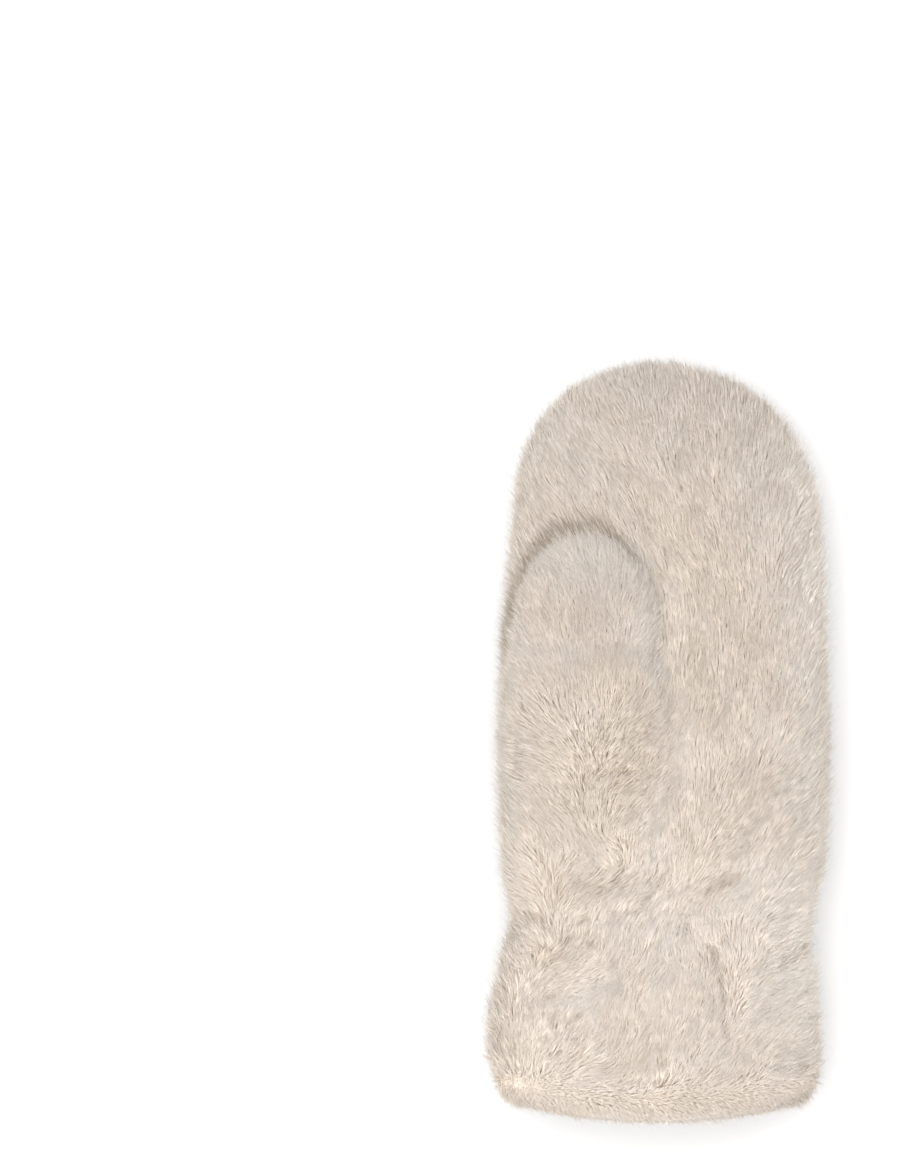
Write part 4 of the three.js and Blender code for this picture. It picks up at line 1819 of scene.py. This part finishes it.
@dataclass
class CuffHem(Part):
    """The rolled edge round the mouth, of finer pile that hangs down over it.

    furred is the stretch of its profile that has pile, thicken where that comes in and turning
    where its way changes from the cuff's, at combed_share, to hang. flat is how low and how much
    downwards the skin faces where the pile is thinned. Where the skin faces into the mouth, past
    inward, the hairs stand off it by off. tossed is how much the ways differ.
    """

    ring: bool = True
    skin_depth: float = 1.7
    top: float = 13.85
    roll: float = 3.75
    core: float = 0.5
    columns: int = 104
    side_rows: int = 4
    edge_rows: int = 8
    cells: tuple[int, int] = (200, 60)
    step: float = 0.02
    furred: Span = (0.02, 2.3)
    thicken: Span = (-0.3, 0.15)
    turning: Span = (0.15, 0.85)
    hang: Place = (0.75, -0.55, 0.0)
    combed_share: float = 0.9
    flat: Span = (4.0, -0.5)
    inward: float = -0.3
    off: float = 0.9
    tossed: float = 0.16
    per_mm2: float = 5.4
    underneath: float = 0.3
    unrest: tuple[Span, ...] = ((9, 6),)
    pile: Pile = Pile(
        seed=13,
        reach=5.0,
        height=2.2,
        width=0.22,
        bow=0.2,
        disorder=9,
        follows=False,
        tones=Tones(middle=0.685, mottle=0.06, dark_share=0),
    )

    def profile(self, v: Array, depth: float) -> tuple[Array, Array]:
        """The way down the outer face, round the lower edge and up the inner face.

        v runs from 0 to 3. In the first stretch along falls from the top to the roll, in the second
        it goes round half a circle of the roll, and in the third it rises to the top again.

        Args:
            v: how far down the profile.
            depth: how far inside the outer profile.

        Returns:
            The distance from the hem's edge, and the depth under the outer form.
        """
        down, angle, up = (np.clip(v - k, 0, 1) for k in range(3))
        angle = angle * math.pi
        small = self.roll - depth
        along = self.top + (self.roll - self.top) * (down - up) - small * np.sin(angle)
        return along, self.roll - small * np.cos(angle)

    def surface(self, u: Array, v: Array, depth: float) -> Points:
        """The hem's form at a depth inside its profile."""
        along, sunk = self.profile(v, depth)
        return HAND.point(u, along, sunk)

    def build_pelt(self) -> None:
        """A closed band whose section is the profile, at the skin's depth, round a thin core."""
        around = np.linspace(0, FULL_TURN, self.columns + 1)[:-1]
        counts = (self.side_rows, self.edge_rows, self.side_rows)
        steps = [np.linspace(i, i + 1, n + 1)[min(i, 1) :] for i, n in enumerate(counts)]
        self.keep_wall(np.concatenate(steps), around, self.roll - self.core)

    def build_pile(self) -> None:
        """Fine pile that runs down the outer face and round the edge into the mouth.

        At the join its way is the cuff's own, and it changes over to downwards at the edge.
        """
        rng = np.random.default_rng(self.pile.seed)
        turn = (0, FULL_TURN)
        spots = scatter(self.skin, turn, self.furred, self.per_mm2, rng, self.cells, step=self.step)
        spots.normals = -spots.normals
        low, facing = self.flat
        flat = (spots.points[:, 2] < low) & (spots.normals[:, 2] < facing)
        share = np.where(flat, self.underneath, 1.0)
        spots = spots.thinned(share * smooth_step(spots.at[:, 1], *self.thicken), rng)
        down = smooth_step(spots.at[:, 1:], *self.turning)
        level = self.combed_share * self.combed(COMB_STROKES, spots) * (1 - down)
        level = level + np.array(self.hang) * down
        inward = spots.normals[:, 1:2] < self.inward
        level = np.where(inward, level - self.off * spots.normals, level)
        ways = level + self.tossed * rng.normal(size=level.shape)
        ways = ways / np.maximum(np.linalg.norm(ways, axis=-1, keepdims=True), 1)
        self.keep_pile("pile", spots, ways)


# The studio


@dataclass(frozen=True)
class Studio:
    """A plain white floor, soft light and a camera that looks straight down.

    The floor lies drop under the mitten, and glows a little so that it shows as plain white.
    """

    floor_half: float = 4.0
    drop: float = 0.0002
    floor_colour: Colour = (0.7, 0.7, 0.7)
    floor_glow: float = 0.14
    floor_roughness: float = 0.9
    floor_shine: float = 0.1
    sky: float = 1.39
    key_power: float = 93.0
    key_size: float = 3.6
    key_place: Place = (-1.3, 0.5, 4.2)
    view_middle: Span = (-0.0785, 0.0582)
    view_height: float = 0.4441
    camera_height: float = 3.03
    middle_height: float = 0.03
    clip: Span = (0.1, 20)

    def floor(self) -> None:
        """A wide square of white paper, just under the mitten."""
        half = self.floor_half
        corners = np.array([[-half, -half], [half, -half], [half, half], [-half, half]])
        mesh = bpy.data.meshes.new("studio_floor")
        mesh.from_pydata([(x, y, -self.drop) for x, y in corners], [], [(0, 1, 2, 3)])
        made = bpy.data.objects.new("studio_floor", mesh)
        bpy.context.scene.collection.objects.link(made)
        paint = Paint("studio_paper")
        colour = (*self.floor_colour, 1.0)
        paint.finish(
            Base_Color=colour,
            Roughness=self.floor_roughness,
            Specular_IOR_Level=self.floor_shine,
            Emission_Color=colour,
            Emission_Strength=self.floor_glow,
        )
        mesh.materials.append(paint.material)

    def light(self) -> None:
        """An even white sky and one large soft lamp, up and to the left."""
        scene = bpy.context.scene
        scene.world = bpy.data.worlds.new("studio_sky")
        scene.world.use_nodes = True
        sky = next(n for n in scene.world.node_tree.nodes if n.type == "BACKGROUND")
        sky.inputs["Color"].default_value = (1.0, 1.0, 1.0, 1.0)
        sky.inputs["Strength"].default_value = self.sky
        lamp = bpy.data.lights.new("studio_key", "AREA")
        lamp.energy, lamp.size = self.key_power, self.key_size
        made = bpy.data.objects.new("studio_key", lamp)
        made.location = self.key_place
        away = Vector(self.key_place)
        made.rotation_euler = away.to_track_quat("Z", "Y").to_euler()
        scene.collection.objects.link(made)

    def camera(self) -> None:
        """A long lens, level over the middle of the view."""
        scene = bpy.context.scene
        seen = bpy.data.cameras.new("studio_camera")
        distance = self.camera_height - self.middle_height
        seen.lens = seen.sensor_width * distance / self.view_height
        seen.clip_start, seen.clip_end = self.clip
        made = bpy.data.objects.new("studio_camera", seen)
        made.location = (*self.view_middle, self.camera_height)
        scene.collection.objects.link(made)
        scene.camera = made

    def tone(self) -> None:
        """Colours are shown as they are, so that white paper stays white."""
        bpy.context.scene.view_settings.view_transform = "Standard"
        bpy.context.scene.view_settings.look = "None"


def main() -> None:
    """Builds the studio and the mitten's parts in order."""
    logging.basicConfig(level=logging.INFO, format="%(name)s: %(message)s")
    studio = Studio()
    studio.floor()
    studio.light()
    studio.camera()
    studio.tone()
    wardrobe = Wardrobe.made()
    parts = (
        PalmPanel("palm_panel", wardrobe),
        BackPanel("back_panel", wardrobe),
        Thumb("thumb", wardrobe),
        Cuff("cuff", wardrobe),
        CuffHem("cuff_hem", wardrobe),
    )
    for part in parts:
        part.build_pelt()
        part.build_pile()
    total = sum(len(p.data.polygons) for part in parts for p in part.pieces)
    log.info("%d faces in all", total)


if __name__ == "__main__":
    main()
